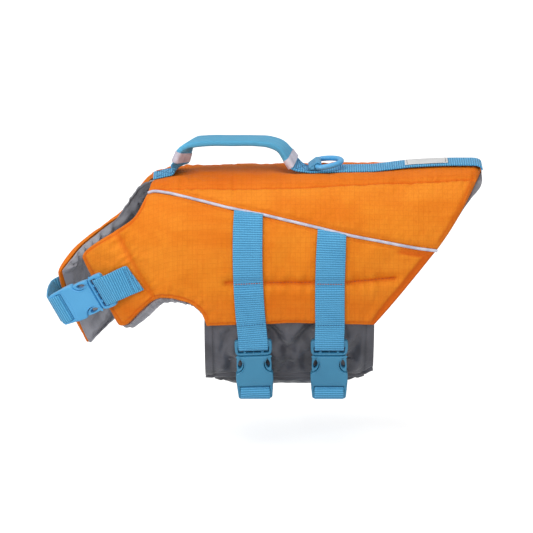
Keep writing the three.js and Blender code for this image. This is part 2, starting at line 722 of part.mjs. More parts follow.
// Spine webbing and handle. The webbing lies on three rows of the back panel, and its ends
// rise along one path with the handle: across is the direction of the band's width there.
const HANDLE = table(['x', 'level', 'ax', 'ay', 'az'], [
  [-98, -0.6, -0.06, -1, 0], [-96, 1.4, -0.25, -0.95, 0.06], [-94.8, 4, -0.38, -0.88, 0.16],
  [-92, 12.2, -0.42, -0.86, 0.2], [-90.2, 15.6, -0.36, -0.9, 0.14], [-87.2, 18.8, -0.25, -0.95, 0.08],
  [-81.5, 21.2, -0.1, -1, 0], [-73, 22.2, 0, -1, 0], [-50, 22.4, 0, -1, 0], [-30, 22.3, 0, -1, 0],
  [-18, 21.2, -0.05, -1, -0.04], [-8.5, 17.4, -0.12, -0.98, -0.08], [-2, 9.6, -0.2, -0.96, -0.16],
  [2.6, 3, -0.2, -0.96, -0.2], [6.4, 0.4, -0.1, -0.98, -0.16],
  [11, -1.6, 0, -0.99, -0.05], [16, -3, 0, -1, 0],
]);
const [FRONT_WRAP, GRIP_START, GRIP_END, REAR_WRAP] = [2, 3, 12, 13];

// The rings of the handle's band between two rows of its path, a little short of both.
function handleRings(from, to, width, thickness, shape) {
  const stations = HANDLE.map(({ x, level, ax, ay, az }) => ({
    at: new THREE.Vector3(x, 0, level + WALL), across: new THREE.Vector3(ax, ay, az),
  }));
  const rings = bandRings(stations, width, thickness, shape);
  return rings.slice(from, to + 1).map((ring, k, kept) => {
    const free = (k === 0 && from > 0) || (k === kept.length - 1 && to < HANDLE.length - 1);
    if (!free) return ring;
    const ahead = HANDLE[from + k + 1];
    const behind = HANDLE[from + k - 1];
    const shift = new THREE.Vector3(ahead.x - behind.x, 0, ahead.level - behind.level).normalize();
    shift.multiplyScalar(k === 0 ? SEAM / 2 : -SEAM / 2);
    return ring.map((point) => point.clone().add(shift));
  });
}

function spineRows(from, to) {
  const middle = (backGrid[0].length - 1) / 2;
  return backGrid.map((column) => column.slice(middle - 1, middle + 2))
    .filter((row) => row[1].x > from && row[1].x < to);
}

function spineWebbingFront() {
  const onPanel = lyingRings(spineRows(-120, -99), 1, SPINE_FLOOR);
  const free = handleRings(0, FRONT_WRAP, WEBBING_WIDTH, WEBBING_THICKNESS, bandRing);
  return loft([...onPanel, ...inOrderOf(onPanel[onPanel.length - 1], free, free[0])]);
}

function spineWebbingRear() {
  const onPanel = lyingRings(spineRows(20, 168), 1, SPINE_FLOOR);
  const free = handleRings(REAR_WRAP, HANDLE.length - 1, WEBBING_WIDTH, WEBBING_THICKNESS, bandRing);
  const turned = lyingRings([0.7, -2.2].map((drop, k) =>
    backGrid[backGrid.length - 1].slice((backGrid[0].length - 3) / 2, (backGrid[0].length + 3) / 2)
      .map((item) => ({ ...item, x: item.x + 0.9 * (k + 1), outer: drop }))), 1);
  return loft([...inOrderOf(onPanel[0], free, free[free.length - 1]), ...onPanel, ...turned]);
}

// The grip is a padded band with rounded edges. A wrap joins each of its ends to the webbing.
function gripRing(at, across, out) {
  const shoulder = 0.86;
  return [[-1, 0], [-shoulder, 1], [shoulder, 1], [1, 0], [shoulder, -1], [-shoulder, -1]].map(([w, t]) =>
    at.clone().addScaledVector(across, w).addScaledVector(out, t));
}

const handleGrip = () => loft(handleRings(GRIP_START, GRIP_END, GRIP_WIDTH, GRIP_THICKNESS, gripRing));
const handleWrap = (from, to) => loft(handleRings(from, to, WRAP_WIDTH, WRAP_THICKNESS, gripRing));

// The lead ring: a D whose bar lies across the spine in the keeper.
const webbingTop = () => {
  const row = spineRows(RING_X - 4, RING_X + 4)[0];
  return onBody(RING_X, 0, Math.max(row[1].outer, SPINE_FLOOR) + SEAM + WEBBING_THICKNESS).z;
};
const KEEPER_LOOP = RING_RADIUS + SEAM + KEEPER_THICKNESS / 2;
const RING_Z = webbingTop() + 2 * SEAM + KEEPER_THICKNESS / 2 + KEEPER_LOOP;

function leadRing() {
  const half = RING_WIDTH / 2 - RING_RADIUS;
  const depth = RING_DEPTH - 2 * RING_RADIUS;
  const corner = 4;
  const path = [-0.67, 0, 0.67].map((share) => [0, share * (half - corner)]);
  for (let k = 0; k <= 2; k += 1) {
    const angle = Math.PI - (k / 3) * (Math.PI / 2);
    path.push([corner + corner * Math.cos(angle), half - corner + corner * Math.sin(angle)]);
  }
  const bowSteps = 12;
  for (let k = 0; k <= bowSteps; k += 1) {
    const angle = Math.PI / 2 - (k / bowSteps) * Math.PI;
    path.push([corner + (depth - corner) * Math.cos(angle), half * Math.sin(angle)]);
  }
  for (let k = 2; k >= 0; k -= 1) {
    const angle = Math.PI + (k / 3) * (Math.PI / 2);
    path.push([corner + corner * Math.cos(angle), corner - half + corner * Math.sin(angle)]);
  }
  const sides = 8;
  const rings = path.map(([x, y], k) => {
    const [ax, ay] = path[(k + path.length - 1) % path.length];
    const [bx, by] = path[(k + 1) % path.length];
    const across = new THREE.Vector3(by - ay, ax - bx, 0).normalize();
    return Array.from({ length: sides }, (_, n) => {
      const angle = ((n + 0.5) / sides) * 2 * Math.PI;
      return new THREE.Vector3(x, y, RING_RADIUS * Math.sin(angle))
        .addScaledVector(across, RING_RADIUS * Math.cos(angle));
    });
  });
  return loft(rings, true);
}

// The keeper: a closed loop of webbing from the spine webbing round the ring's bar.
function ringKeeper() {
  const small = 0.75;
  const tailX = -6.5;
  const turn = (radius, x, z, from, to, steps) => Array.from({ length: steps + 1 }, (_, k) => {
    const angle = THREE.MathUtils.degToRad(mix(from, to, k / steps));
    return [x + radius * Math.cos(angle), z + radius * Math.sin(angle)];
  });
  const path = [
    ...turn(KEEPER_LOOP, 0, 0, -90, 110, 7),
    ...turn(small, tailX, small - KEEPER_LOOP, 110, 270, 4),
  ];
  const rings = path.map(([x, z], k) => {
    const [ax, az] = path[(k + path.length - 1) % path.length];
    const [bx, bz] = path[(k + 1) % path.length];
    const out = new THREE.Vector3(bz - az, 0, ax - bx).normalize().multiplyScalar(KEEPER_THICKNESS / 2);
    const at = new THREE.Vector3(x, 0, z);
    const across = new THREE.Vector3(0, KEEPER_WIDTH / 2, 0);
    return [[-1, -1], [1, -1], [1, 1], [-1, 1]].map(([w, t]) =>
      at.clone().addScaledVector(across, w).addScaledVector(out, t));
  });
  return loft(rings, true);
}

// A bare label on the spine webbing.
const LABEL_FROM = 99;
const LABEL_TO = 136;
function label() {
  const half = 9;
  const steps = 4;
  const rings = Array.from({ length: steps + 1 }, (_, k) => {
    const x = mix(LABEL_FROM, LABEL_TO, k / steps);
    const valley = quilting(FAR, x, 0);
    const lift = -valley + 2 * SEAM + WEBBING_THICKNESS;
    const girths = [-half, 0, half];
    return [
      ...girths.map((girth) => onBody(x, girth, lift)),
      ...[...girths].reverse().map((girth) => onBody(x, girth, lift + 0.6)),
    ];
  });
  return loft(rings);
}

// Buckle pieces are drawn in the plane of their frame: across, then along.
function roundedShape(halfStart, halfEnd, from, to, radius) {
  const shape = new THREE.Shape();
  const corners = [[-halfStart, from], [halfStart, from], [halfEnd, to], [-halfEnd, to]];
  corners.forEach(([x, y], k) => {
    const [px, py] = corners[(k + 3) % 4];
    const [nx, ny] = corners[(k + 1) % 4];
    const toward = (tx, ty) => {
      const share = radius / Math.hypot(tx - x, ty - y);
      return [mix(x, tx, share), mix(y, ty, share)];
    };
    const [sx, sy] = toward(px, py);
    const [ex, ey] = toward(nx, ny);
    if (k === 0) shape.moveTo(sx, sy);
    else shape.lineTo(sx, sy);
    shape.quadraticCurveTo(x, y, ex, ey);
  });
  shape.closePath();
  return shape;
}

function plate(shape, thickness, bevel) {
  const geometry = new THREE.ExtrudeGeometry(shape, {
    depth: thickness - 2 * bevel,
    bevelEnabled: true,
    bevelThickness: bevel,
    bevelSize: bevel,
    bevelOffset: -bevel,
    bevelSegments: 1,
    curveSegments: 3,
  });
  geometry.translate(0, 0, bevel - thickness / 2);
  geometry.deleteAttribute('normal');
  geometry.deleteAttribute('uv');
  const merged = mergeVertices(geometry, 1e-3);
  const index = Array.from(merged.index.array);
  const kept = [];
  for (let k = 0; k < index.length; k += 3) {
    const [a, b, c] = index.slice(k, k + 3);
    if (a !== b && b !== c && c !== a) kept.push(a, b, c);
  }
  merged.setIndex(kept);
  return merged;
}

const wasm = await Module();
wasm.setup();

const asManifold = (geometry) => new wasm.Manifold(new wasm.Mesh({
  numProp: 3,
  vertProperties: new Float32Array(geometry.attributes.position.array),
  triVerts: new Uint32Array(geometry.index.array),
}));

function asGeometry(manifold) {
  const mesh = manifold.getMesh();
  const geometry = new THREE.BufferGeometry();
  geometry.setAttribute('position', new THREE.Float32BufferAttribute(mesh.vertProperties, 3));
  geometry.setIndex(Array.from(mesh.triVerts));
  return geometry;
}

const SLOT_HALF = WEBBING_WIDTH / 2 + 0.45;

function buckleSocket() {
  const half = BUCKLE_WIDTH / 2;
  const bodyEnd = 42.5;
  const body = roundedShape(half - 1.6, half - 0.8, PLUG_LENGTH + SEAM, bodyEnd, 3);
  const [leftWindow, rightWindow] = [-1, 1].map((side) => {
    const outline = new THREE.Shape();
    outline.absellipse(side * 10.6, 22, 1.9, 3.4, 0, 2 * Math.PI);
    return asManifold(plate(outline, 2 * BUCKLE_THICKNESS, 0.1));
  });
  const tail = roundedShape(half - 1.2, half - 0.2, bodyEnd - 4, BUCKLE_LENGTH, 2.2);
  tail.holes.push(roundedShape(SLOT_HALF, SLOT_HALF, bodyEnd, SOCKET_BAR[0], 0.8));
  const bars = asManifold(plate(tail, FRAME_THICKNESS, 0.7));
  const endCut = roundedShape(SLOT_HALF, SLOT_HALF, SOCKET_BAR[1], BUCKLE_LENGTH + 4, 0.8);
  const cut = asManifold(plate(endCut, 3 * FRAME_THICKNESS, 0.1));
  const shell = asManifold(plate(body, BUCKLE_THICKNESS, 1.3)).subtract(leftWindow).subtract(rightWindow);
  return asGeometry(shell.add(bars.subtract(cut)));
}

function bucklePlug() {
  const half = BUCKLE_WIDTH / 2;
  const frame = roundedShape(half, half - 0.6, 0, PLUG_LENGTH, 3.4);
  frame.holes.push(roundedShape(SLOT_HALF, SLOT_HALF, PLUG_BAR, PLUG_LENGTH - 2.2, 0.8));
  return plate(frame, FRAME_THICKNESS, 0.8);
}

// Materials
const material = (color, roughness, metalness = 0) =>
  new THREE.MeshStandardMaterial({ color, roughness, metalness });
const MATERIALS = {
  shell: material('#de7a1e', 0.7),
  lining: material('#77777d', 0.85),
  belly: material('#47474d', 0.8),
  webbing: material('#4f9fcb', 0.8),
  grip: material('#57b0da', 0.75),
  piping: material('#c3c6da', 0.45),
  wrap: material('#bfb7c4', 0.5),
  label: material('#f1f1ef', 0.8),
  plastic: material('#4b97c6', 0.4),
};

const group = new THREE.Group();
function add(name, geometry, finish, place) {
  const mesh = new THREE.Mesh(geometry, MATERIALS[finish]);
  mesh.name = name;
  if (place) place(mesh);
  group.add(mesh);
}

add('back_panel', backPanel(), 'shell');
[['near', NEAR], ['far', FAR]].forEach(([name, side]) => {
  add(`side_panel_${name}`, sidePanel(side), 'shell');
  add(`lining_${name}`, lining(side), 'lining');
  add(`piping_${name}`, piping(side), 'piping');
  add(`belly_flap_${name}`, bellyFlap(side), 'belly');
});

add('spine_webbing_front', spineWebbingFront(), 'webbing');
add('spine_webbing_rear', spineWebbingRear(), 'webbing');
add('handle_grip', handleGrip(), 'grip');
add('handle_wrap_front', handleWrap(FRONT_WRAP, GRIP_START), 'wrap');
add('handle_wrap_rear', handleWrap(GRIP_END, REAR_WRAP), 'wrap');
add('spine_label', label(), 'label');

const atRing = (mesh) => mesh.position.set(RING_X, 0, RING_Z);
add('ring_keeper', ringKeeper(), 'webbing', atRing);
add('lead_ring', leadRing(), 'plastic', (mesh) => {
  atRing(mesh);
  mesh.rotation.y = -RING_RISE;
});

BELLY_BUCKLES.forEach((buckle) => {
  const place = (mesh) => mesh.applyMatrix4(bellyBuckleFrame(buckle).matrix);
  add(`side_strap_${buckle.name}`, sideStrap(buckle), 'webbing');
  add(`girth_strap_${buckle.name}`, girthStrap(buckle), 'webbing');
  add(`buckle_plug_${buckle.name}`, bucklePlug(), 'plastic', place);
  add(`buckle_socket_${buckle.name}`, buckleSocket(), 'plastic', place);
});

const placeChest = (mesh) => mesh.applyMatrix4(chestFrame.matrix);
add('chest_strap_near', chestStrapNear(), 'webbing');
add('chest_strap_far', chestStrapFar(), 'webbing');
add('buckle_plug_chest', bucklePlug(), 'plastic', placeChest);
add('buckle_socket_chest', buckleSocket(), 'plastic', placeChest);

export default group;
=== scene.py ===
"""Looks for a dog life jacket that stands filled out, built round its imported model.

Millimetres are used for the shape, as in the solids, and metres in Blender. A place on the cloth
is named by x and by girth: the distance along the cloth from the spine, negative on the near side.
"""

import math

import bpy
import numpy as np
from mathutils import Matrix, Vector


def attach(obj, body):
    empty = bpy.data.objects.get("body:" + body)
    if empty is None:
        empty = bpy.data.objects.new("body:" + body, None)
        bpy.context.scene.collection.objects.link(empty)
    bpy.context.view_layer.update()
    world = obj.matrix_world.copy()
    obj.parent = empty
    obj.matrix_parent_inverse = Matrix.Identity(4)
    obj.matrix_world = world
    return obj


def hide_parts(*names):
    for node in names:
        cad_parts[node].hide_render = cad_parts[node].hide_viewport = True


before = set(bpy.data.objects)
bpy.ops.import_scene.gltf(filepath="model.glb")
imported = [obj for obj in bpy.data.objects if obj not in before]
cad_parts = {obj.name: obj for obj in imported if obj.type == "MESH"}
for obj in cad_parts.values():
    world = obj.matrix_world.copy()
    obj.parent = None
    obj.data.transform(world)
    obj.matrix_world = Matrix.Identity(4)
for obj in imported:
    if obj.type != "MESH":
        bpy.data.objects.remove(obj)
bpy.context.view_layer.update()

MM = 0.001

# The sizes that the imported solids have
FOAM = 7.0
LINING = 1.2
SEAM = 0.3
WALL = FOAM + SEAM + LINING
EDGE_THICKNESS = 2.5
EDGE_ROUNDING = 6.0
BELLY_CLOTH = 2.0
BELLY_SINK = 5.0
PIPING_RADIUS = 1.3
WEBBING_WIDTH = 25.4
WEBBING_THICKNESS = 1.6
GRIP_WIDTH = 24.0
WRAP_WIDTH = 25.6
RING_WIDTH = 36.0
RING_DEPTH = 25.0
RING_RADIUS = 2.15
RING_X = 23.3
RING_RISE = math.radians(7)
KEEPER_WIDTH = 22.0
KEEPER_THICKNESS = 1.1
BUCKLE_WIDTH = 32.0
BUCKLE_LENGTH = 56.5
PLUG_LENGTH = 14.5
BUCKLE_THICKNESS = 8.0
FRAME_THICKNESS = 4.5
QUILT_DEPTH = 2.8
QUILT_WIDTH = 4.5
VALLEY_WIDTH = 16.0
VALLEY_DEPTH = 4.0
TILT = math.radians(15)
TOP_ROUNDNESS = 2.35
BELLY_ROUNDNESS = 2.2
NEAR = -1
FAR = 1
SIDES = {NEAR: "near", FAR: "far"}


def table(names, rows):
    """Rows with named columns, as one array for each name."""
    return {name: np.array([float(row[k]) for row in rows]) for k, name in enumerate(names.split())}


SECTIONS = table("x top widest belly near far", [
    [-214, -20, -88, -200, 13, 5],
    [-202, -19, -87, -199, 17, 12],
    [-190, -17, -86, -198, 23, 28],
    [-179, -15, -85, -197, 30, 37.5],
    [-165, -12, -83, -196, 40, 47],
    [-150, -10, -80, -195, 48.5, 54],
    [-135, -9, -77, -192, 56, 59.5],
    [-119, -6.5, -75, -190, 62, 63],
    [-100, -2.5, -75, -189, 66, 66],
    [-72, -2, -75, -193.5, 69, 69],
    [-50, -1.5, -75, -198.5, 70, 70],
    [0, -1, -75, -199.5, 70, 70],
    [45, 0, -75, -197.5, 69, 69],
    [72, 0.5, -75, -190.5, 66, 66],
    [100, 1, -74, -184, 63, 63],
    [135, 2.5, -73, -178, 58, 58],
    [172, 2.5, -72, -175, 53, 53],
])
PANEL_COLUMNS = "x_top drop_top x_mid drop_mid x_hem drop_hem skirt corner"
BODY_SIDE = [
    [-124.6, 23.8, -97, 101.8, -91.5, 117.3, 4.5, 1],
    [-116, 21.7, -91.5, 101.8, -86.3, 119.4, 3.5, 0],
    [-97, 25.2, -82.3, 101.8, -77.5, 126.8, 3, 0],
    [-74, 31, -73, 101.8, -72.4, 137.8, 0, 1],
    [-48.8, 37.4, -48.9, 101.8, -46.6, 137, 0, 0],
    [-23.5, 42.6, -23.8, 101.8, -21, 136.3, 0, 0],
    [-1, 48, -1.3, 101.8, 0, 135.2, 0, 0],
    [23, 53.8, 21.1, 101.8, 20.8, 135.7, 0, 0],
    [48.3, 60.1, 46.5, 101.8, 45.9, 136.3, 0, 0],
    [78, 66, 71, 99.5, 58, 136.6, 0, 0],
    [105, 71.2, 93.5, 97.3, 67, 136.9, 0, 0],
    [122.7, 74, 107, 96.3, 72.2, 137, 0, 1],
]
PANELS = {
    NEAR: table(PANEL_COLUMNS, [
        [-182, 77, -171.2, 101.8, -150.5, 139.3, 2, 0],
        [-173.1, 69.3, -158.2, 101.8, -142, 137.7, 5, 0],
        [-158.2, 60, -139.8, 101.8, -129.2, 125.5, 8, 0],
        [-151.8, 55.7, -126.5, 101.8, -117.2, 116.2, 8, 0],
        [-135.5, 44, -109.8, 101.8, -104, 114.8, 6.5, 0],
    ] + BODY_SIDE),
    FAR: table(PANEL_COLUMNS, [
        [-204.8, 93.8, -199, 125, -180.8, 168.5, 1, 0],
        [-196, 86.2, -189, 122, -173.7, 162.5, 2, 0],
        [-179.2, 78.5, -171.4, 116, -159.6, 153, 3, 0],
        [-165.8, 72, -156, 111, -146.2, 143.5, 4, 0],
        [-146, 60, -128, 105, -119, 125.5, 5, 0],
    ] + BODY_SIDE),
}
FLAP_ROWS = 5
LAST_PLACE = FLAP_ROWS + len(BODY_SIDE) - 1
BODY_BACK = table("x_spine x_quilt corner", [
    [-117.5, -123, 1],
    [-109, -113.5, 0],
    [-91, -94.5, 0],
    [-71, -73, 1],
    [-48.8, -48.8, 0],
    [-23.5, -23.5, 0],
    [-1, -1, 0],
    [23, 23, 0],
    [50, 49.5, 0],
    [92, 88, 0],
    [138, 130, 0],
    [165, 158.3, 1],
])
BACK_QUILT = table("x drop", [[-124, 18.3], [0, 17.4], [50, 14.8], [100, 12.7], [160, 9.9]])
HEM = table("x drop", [
    [-74, 137.8], [-46.6, 137], [-21, 136.3], [0, 135.2], [20.8, 135.7], [45.9, 136.3], [74, 137],
])


def smooth(share):
    t = np.clip(share, 0, 1)
    return t * t * (3 - 2 * t)


def mix(a, b, share):
    return a + (b - a) * share


def hermite(t, a, b, slope_a, slope_b):
    return mix(a, b, t * t * (3 - 2 * t)) + t * (1 - t) * ((1 - t) * slope_a - t * slope_b)


def table_at(rows, column, x):
    """A smooth curve through a table's rows, read at x."""
    xs, ys = rows["x"], rows[column]
    last = len(xs) - 1
    k = np.clip(np.searchsorted(xs, x) - 1, 0, last - 1)
    before = np.maximum(np.arange(last + 1) - 1, 0)
    after = np.minimum(np.arange(last + 1) + 1, last)
    slope = (ys[after] - ys[before]) / (xs[after] - xs[before])
    span = xs[k + 1] - xs[k]
    t = np.clip((x - xs[k]) / span, 0, 1)
    return hermite(t, ys[k], ys[k + 1], span * slope[k], span * slope[k + 1])


def row_at(rows, column, place):
    """A smooth curve through a panel table's rows, read at a row number with a fraction."""
    ys, corner = rows[column], rows["corner"]
    last = len(ys) - 1
    k = np.clip(np.floor(place).astype(int), 0, last - 1)
    step = ys[k + 1] - ys[k]
    slope_in = (ys[k + 1] - ys[np.maximum(k - 1, 0)]) / 2
    slope_out = (ys[np.minimum(k + 2, last)] - ys[k]) / 2
    slope_in = np.where((corner[k] > 0) | (k == 0), step, slope_in)
    slope_out = np.where((corner[k + 1] > 0) | (k + 1 == last), step, slope_out)
    return hermite(place - k, ys[k], ys[k + 1], slope_in, slope_out)


# The straps: each belly buckle's x, how far it leans, and its strap's place along the panel
BELLY_BUCKLES = {"front": (-32.3, 0.04, FLAP_ROWS + 4.5), "rear": (33.4, 0.0, FLAP_ROWS + 7.5)}
CHEST_NEAR = table("x drop lift", [
    [-133, 96.6, 0], [-138, 98.5, 0], [-143, 100.3, 0.3], [-147.5, 101.9, 1.2],
])
CHEST_FAR = table("x drop lift", [
    [-152, 108.3, 0], [-160, 110, 0], [-169, 112, 0], [-178, 114.3, 0], [-186, 116.5, 0], [-193, 118.5, 0],
])

# The torso's outer face, sampled once at every millimetre of x and of girth
X_AXIS = np.arange(-216.0, 183.0)
GIRTHS = np.arange(-340.0, 341.0)


def section_curves(side):
    """For every x: y, level and length along the cloth from the spine to the belly."""
    angle = np.linspace(0, math.pi, 181)
    half, top, widest, belly = (
        table_at(SECTIONS, column, X_AXIS)[:, None] for column in (SIDES[side], "top", "widest", "belly")
    )
    above = angle <= math.pi / 2
    power = np.where(above, 2 / TOP_ROUNDNESS, 2 / BELLY_ROUNDNESS)
    y = half * np.maximum(np.sin(angle), 0) ** power
    level = widest + np.where(above, top - widest, belly - widest) * np.abs(np.cos(angle)) ** power
    steps = np.hypot(np.diff(y, axis=1), np.diff(level, axis=1))
    length = np.concatenate([np.zeros((len(X_AXIS), 1)), np.cumsum(steps, axis=1)], axis=1)
    return y, level, length


def unit(vectors):
    """The vectors at length 1, but for those of no length."""
    return vectors / np.maximum(np.linalg.norm(vectors, axis=-1, keepdims=True), 1e-9)


def sample_body():
    """The outer face's points and normals, at every step of both axes."""
    curves = {side: section_curves(side) for side in SIDES}
    points = np.zeros((len(X_AXIS), len(GIRTHS), 3))
    for i, x in enumerate(X_AXIS):
        for side in SIDES:
            own = np.where(GIRTHS < 0, NEAR, FAR) == side
            half = curves[side][2][i, -1]
            length = np.abs(GIRTHS[own])
            past = length > half
            length = np.where(past, 2 * half - length, length)
            for turned in (False, True):
                here = np.flatnonzero(own)[past == turned]
                y, level, lengths = (curve[i] for curve in curves[-side if turned else side])
                reach = length[past == turned]
                points[i, here, 1] = (-side if turned else side) * np.interp(reach, lengths, y)
                points[i, here, 2] = np.interp(reach, lengths, level) + WALL
        points[i, :, 0] = x
    return points, unit(np.cross(np.gradient(points, axis=0), np.gradient(points, axis=1)))


BODY_POINTS, BODY_NORMALS = sample_body()


def read_body(values, x, girth):
    """Sampled values at any x and girth, mixed from the four samples round each place."""
    at_x = np.clip(x - X_AXIS[0], 0, len(X_AXIS) - 1.001)
    at_g = np.clip(girth - GIRTHS[0], 0, len(GIRTHS) - 1.001)
    i, j = at_x.astype(int), at_g.astype(int)
    a, b = (at_x - i)[..., None], (at_g - j)[..., None]
    low = mix(values[i, j], values[i + 1, j], a)
    high = mix(values[i, j + 1], values[i + 1, j + 1], a)
    return mix(low, high, b)


def normal_at(x, girth):
    return unit(read_body(BODY_NORMALS, *np.broadcast_arrays(np.asarray(x, float), np.asarray(girth, float))))


def on_body(x, girth, offset=0.0):
    """The point at x and girth, moved out from the face by an offset."""
    x, girth, offset = np.broadcast_arrays(
        np.asarray(x, float), np.asarray(girth, float), np.asarray(offset, float))
    return read_body(BODY_POINTS, x, girth) + normal_at(x, girth) * offset[..., None]


def girth_at(x, drop, side):
    """The girth at which the face shows at a drop, for arrays of x and drop."""
    x, drop = np.broadcast_arrays(np.asarray(x, float), np.asarray(drop, float))
    girths = np.arange(0.0, 272.0)
    points = on_body(x.reshape(-1, 1), side * girths[None, :])
    drops = side * points[..., 1] * math.sin(TILT) - (points[..., 2] - WALL) * math.cos(TILT)
    drops = np.maximum.accumulate(drops, axis=1) + girths * 1e-6
    found = [np.interp(d, row, girths) for d, row in zip(drop.ravel(), drops)]
    return np.array(found).reshape(x.shape)


def through_three(a, b, c, girth):
    """x on a curve through three places, each an x and a girth."""
    first = (b[0] - a[0]) / (b[1] - a[1])
    second = ((c[0] - b[0]) / (c[1] - b[1]) - first) / (c[1] - a[1])
    return a[0] + (girth - a[1]) * (first + second * (girth - b[1]))


# How far the flap's corners are rounded, the length of cloth between two rows of the flap, and
# how far the cloth stands past the solids' edges at the tail and the hem
CORNER_ROUND = 4.5
FLAP_STEP = 11.0
TAIL_MORE = 3.0
HEM_MORE = 2.5


def panel_lines(side, places):
    """The lines down a side panel: top, mid and hem, each as arrays of x and girth."""
    rows = PANELS[side]
    lines = {"skirt": row_at(rows, "skirt", places)}
    for name in ("top", "mid", "hem"):
        x = row_at(rows, "x_" + name, places)
        lines[name] = (x, girth_at(x, row_at(rows, "drop_" + name, places), side))
    for name, way in (("top", 1), ("hem", -1)):
        x, girth = lines[name]
        from_front = np.clip(places * FLAP_STEP / CORNER_ROUND, 0, 1)
        lines[name] = (x, girth + way * CORNER_ROUND * (1 - np.sqrt(1 - (1 - from_front) ** 2)) * 0.8)
    at_tail = smooth(places - (LAST_PLACE - 1))
    lines["top"] = (lines["top"][0] + TAIL_MORE * at_tail, lines["top"][1])
    lines["mid"] = (lines["mid"][0] + TAIL_MORE * 0.4 * at_tail, lines["mid"][1])
    more = HEM_MORE * (0.32 + 0.28 * smooth((places - 3) / 2) + 0.4 * smooth(places - 7))
    lines["hem"] = (lines["hem"][0], lines["hem"][1] + more)
    return lines


SIDE_LINES = ("top", "mid", "hem")
BACK_LINES = ("spine", "quilt", "top")


def one_place(lines, names=SIDE_LINES, k=0):
    """The lines' k-th places, each an x and a girth."""
    return [(lines[name][0][k], lines[name][1][k]) for name in names]


def as_columns(lines, names=SIDE_LINES):
    """The lines as columns of x and girth, to lay rows of girths against."""
    return [(lines[name][0][:, None], lines[name][1][:, None]) for name in names]


def back_lines(places):
    """The same lines carried up over the back, from the spine to the piping."""
    x_quilt = row_at(BODY_BACK, "x_quilt", places - FLAP_ROWS)
    x_quilt = x_quilt + 0.5 * TAIL_MORE * smooth(places - (LAST_PLACE - 1))
    quilt = (x_quilt, girth_at(x_quilt, table_at(BACK_QUILT, "drop", x_quilt), NEAR))
    spine = (row_at(BODY_BACK, "x_spine", places - FLAP_ROWS), 0 * places)
    return {"spine": spine, "quilt": quilt, "top": panel_lines(NEAR, places)["top"]}


def along_path(path, x, girth):
    """Distance from places to a path of x and girth, and how far along the path that is."""
    path = np.asarray(path, float)
    steps = np.hypot(*np.diff(path, axis=0).T)
    starts = np.concatenate([[0], np.cumsum(steps)])
    best = np.full(np.shape(x), np.inf)
    length = np.zeros(np.shape(x))
    for a, b, step, start in zip(path[:-1], path[1:], steps, starts):
        if step < 1e-9:
            continue
        share = np.clip(((x - a[0]) * (b[0] - a[0]) + (girth - a[1]) * (b[1] - a[1])) / step**2, 0, 1)
        away = np.hypot(x - mix(a[0], b[0], share), girth - mix(a[1], b[1], share))
        closer = away < best
        best = np.where(closer, away, best)
        length = np.where(closer, start + share * step, length)
    return best, length


def waves(x, girth, size, seed, count=7):
    """Soft random relief between about -1 and 1, with features of one size in millimetres."""
    random = np.random.default_rng(int(10 * seed))
    total = 0.0
    for _ in range(count):
        angle, phase = random.uniform(0, 2 * math.pi, 2)
        pitch = size * random.uniform(0.7, 1.5)
        total = total + np.sin((x * math.cos(angle) + girth * math.sin(angle)) * 2 * math.pi / pitch + phase)
    return total / math.sqrt(count) * 0.8


def puckers(path, x, girth, depth, reach, pitch, seed):
    """Short troughs across a line of stitching, as gathered cloth has beside it."""
    away, length = along_path(path, x, girth)
    wander = 1.4 * np.sin(length / pitch * 1.7 + seed) + 1.1 * np.sin(length / pitch * 0.61 + 2 * seed)
    ripple = np.sin(2 * math.pi * length / pitch + wander + 0.05 * away)
    fade = np.exp(-((away / reach) ** 2)) * (1 - 0.75 * np.exp(-((away / 2.0) ** 2)))
    return depth * ripple * fade


def fold(x, girth, start, end, depth, width):
    """One soft fold from start to end, each an x and a girth. It fades at both ends."""
    away, length = along_path([start, end], x, girth)
    total = math.hypot(end[0] - start[0], end[1] - start[1])
    fade = 0.35 + 0.65 * np.sin(math.pi * np.clip(length / total, 0, 1))
    return depth * np.exp(-((away / width) ** 2)) * fade


def puff(from_edge):
    inside = 1 - np.minimum(from_edge / EDGE_ROUNDING, 1)
    return mix(EDGE_THICKNESS, FOAM, np.sqrt(1 - inside**2))


COARSE = {side: panel_lines(side, np.linspace(0, LAST_PLACE, 120)) for side in SIDES}
COARSE_BACK = back_lines(np.linspace(FLAP_ROWS, LAST_PLACE, 90))


def path_of(line, keep=None):
    x, girth = line
    return np.array([(a, b) for a, b in zip(x, girth) if keep is None or keep[0] < a < keep[1]])


def side_edge(side):
    """The outline of a side panel, as a closed path."""
    lines = COARSE[side]
    ends = []
    for k in (0, -1):
        a, b, c = one_place(lines, k=k)
        girths = np.linspace(a[1], c[1], 24)
        ends.append(np.stack([through_three(a, b, c, girths), girths], axis=1))
    top, hem = path_of(lines["top"]), path_of(lines["hem"])
    return np.concatenate([top, ends[1], hem[::-1], ends[0][::-1]])


def back_edge():
    """The outline of the far half of the back panel, but for the spine."""
    lines = COARSE_BACK
    ends = []
    for k in (0, -1):
        a, b, c = one_place(lines, BACK_LINES, k)
        girths = np.linspace(0, c[1], 24)
        ends.append(np.stack([through_three(a, b, c, girths), girths], axis=1))
    return np.concatenate([ends[0], path_of(lines["top"]), ends[1][::-1]])


EDGES = {side: side_edge(side) for side in SIDES}
BACK_EDGE = back_edge()
BACK_QUILT_PATH = path_of(COARSE_BACK["quilt"])
LOWER_QUILT = {side: path_of(COARSE[side]["mid"], (-58, 92)) for side in SIDES}


CREASE_PLACE = 3.0
CREASE = {side: one_place(panel_lines(side, np.array([CREASE_PLACE]))) for side in SIDES}


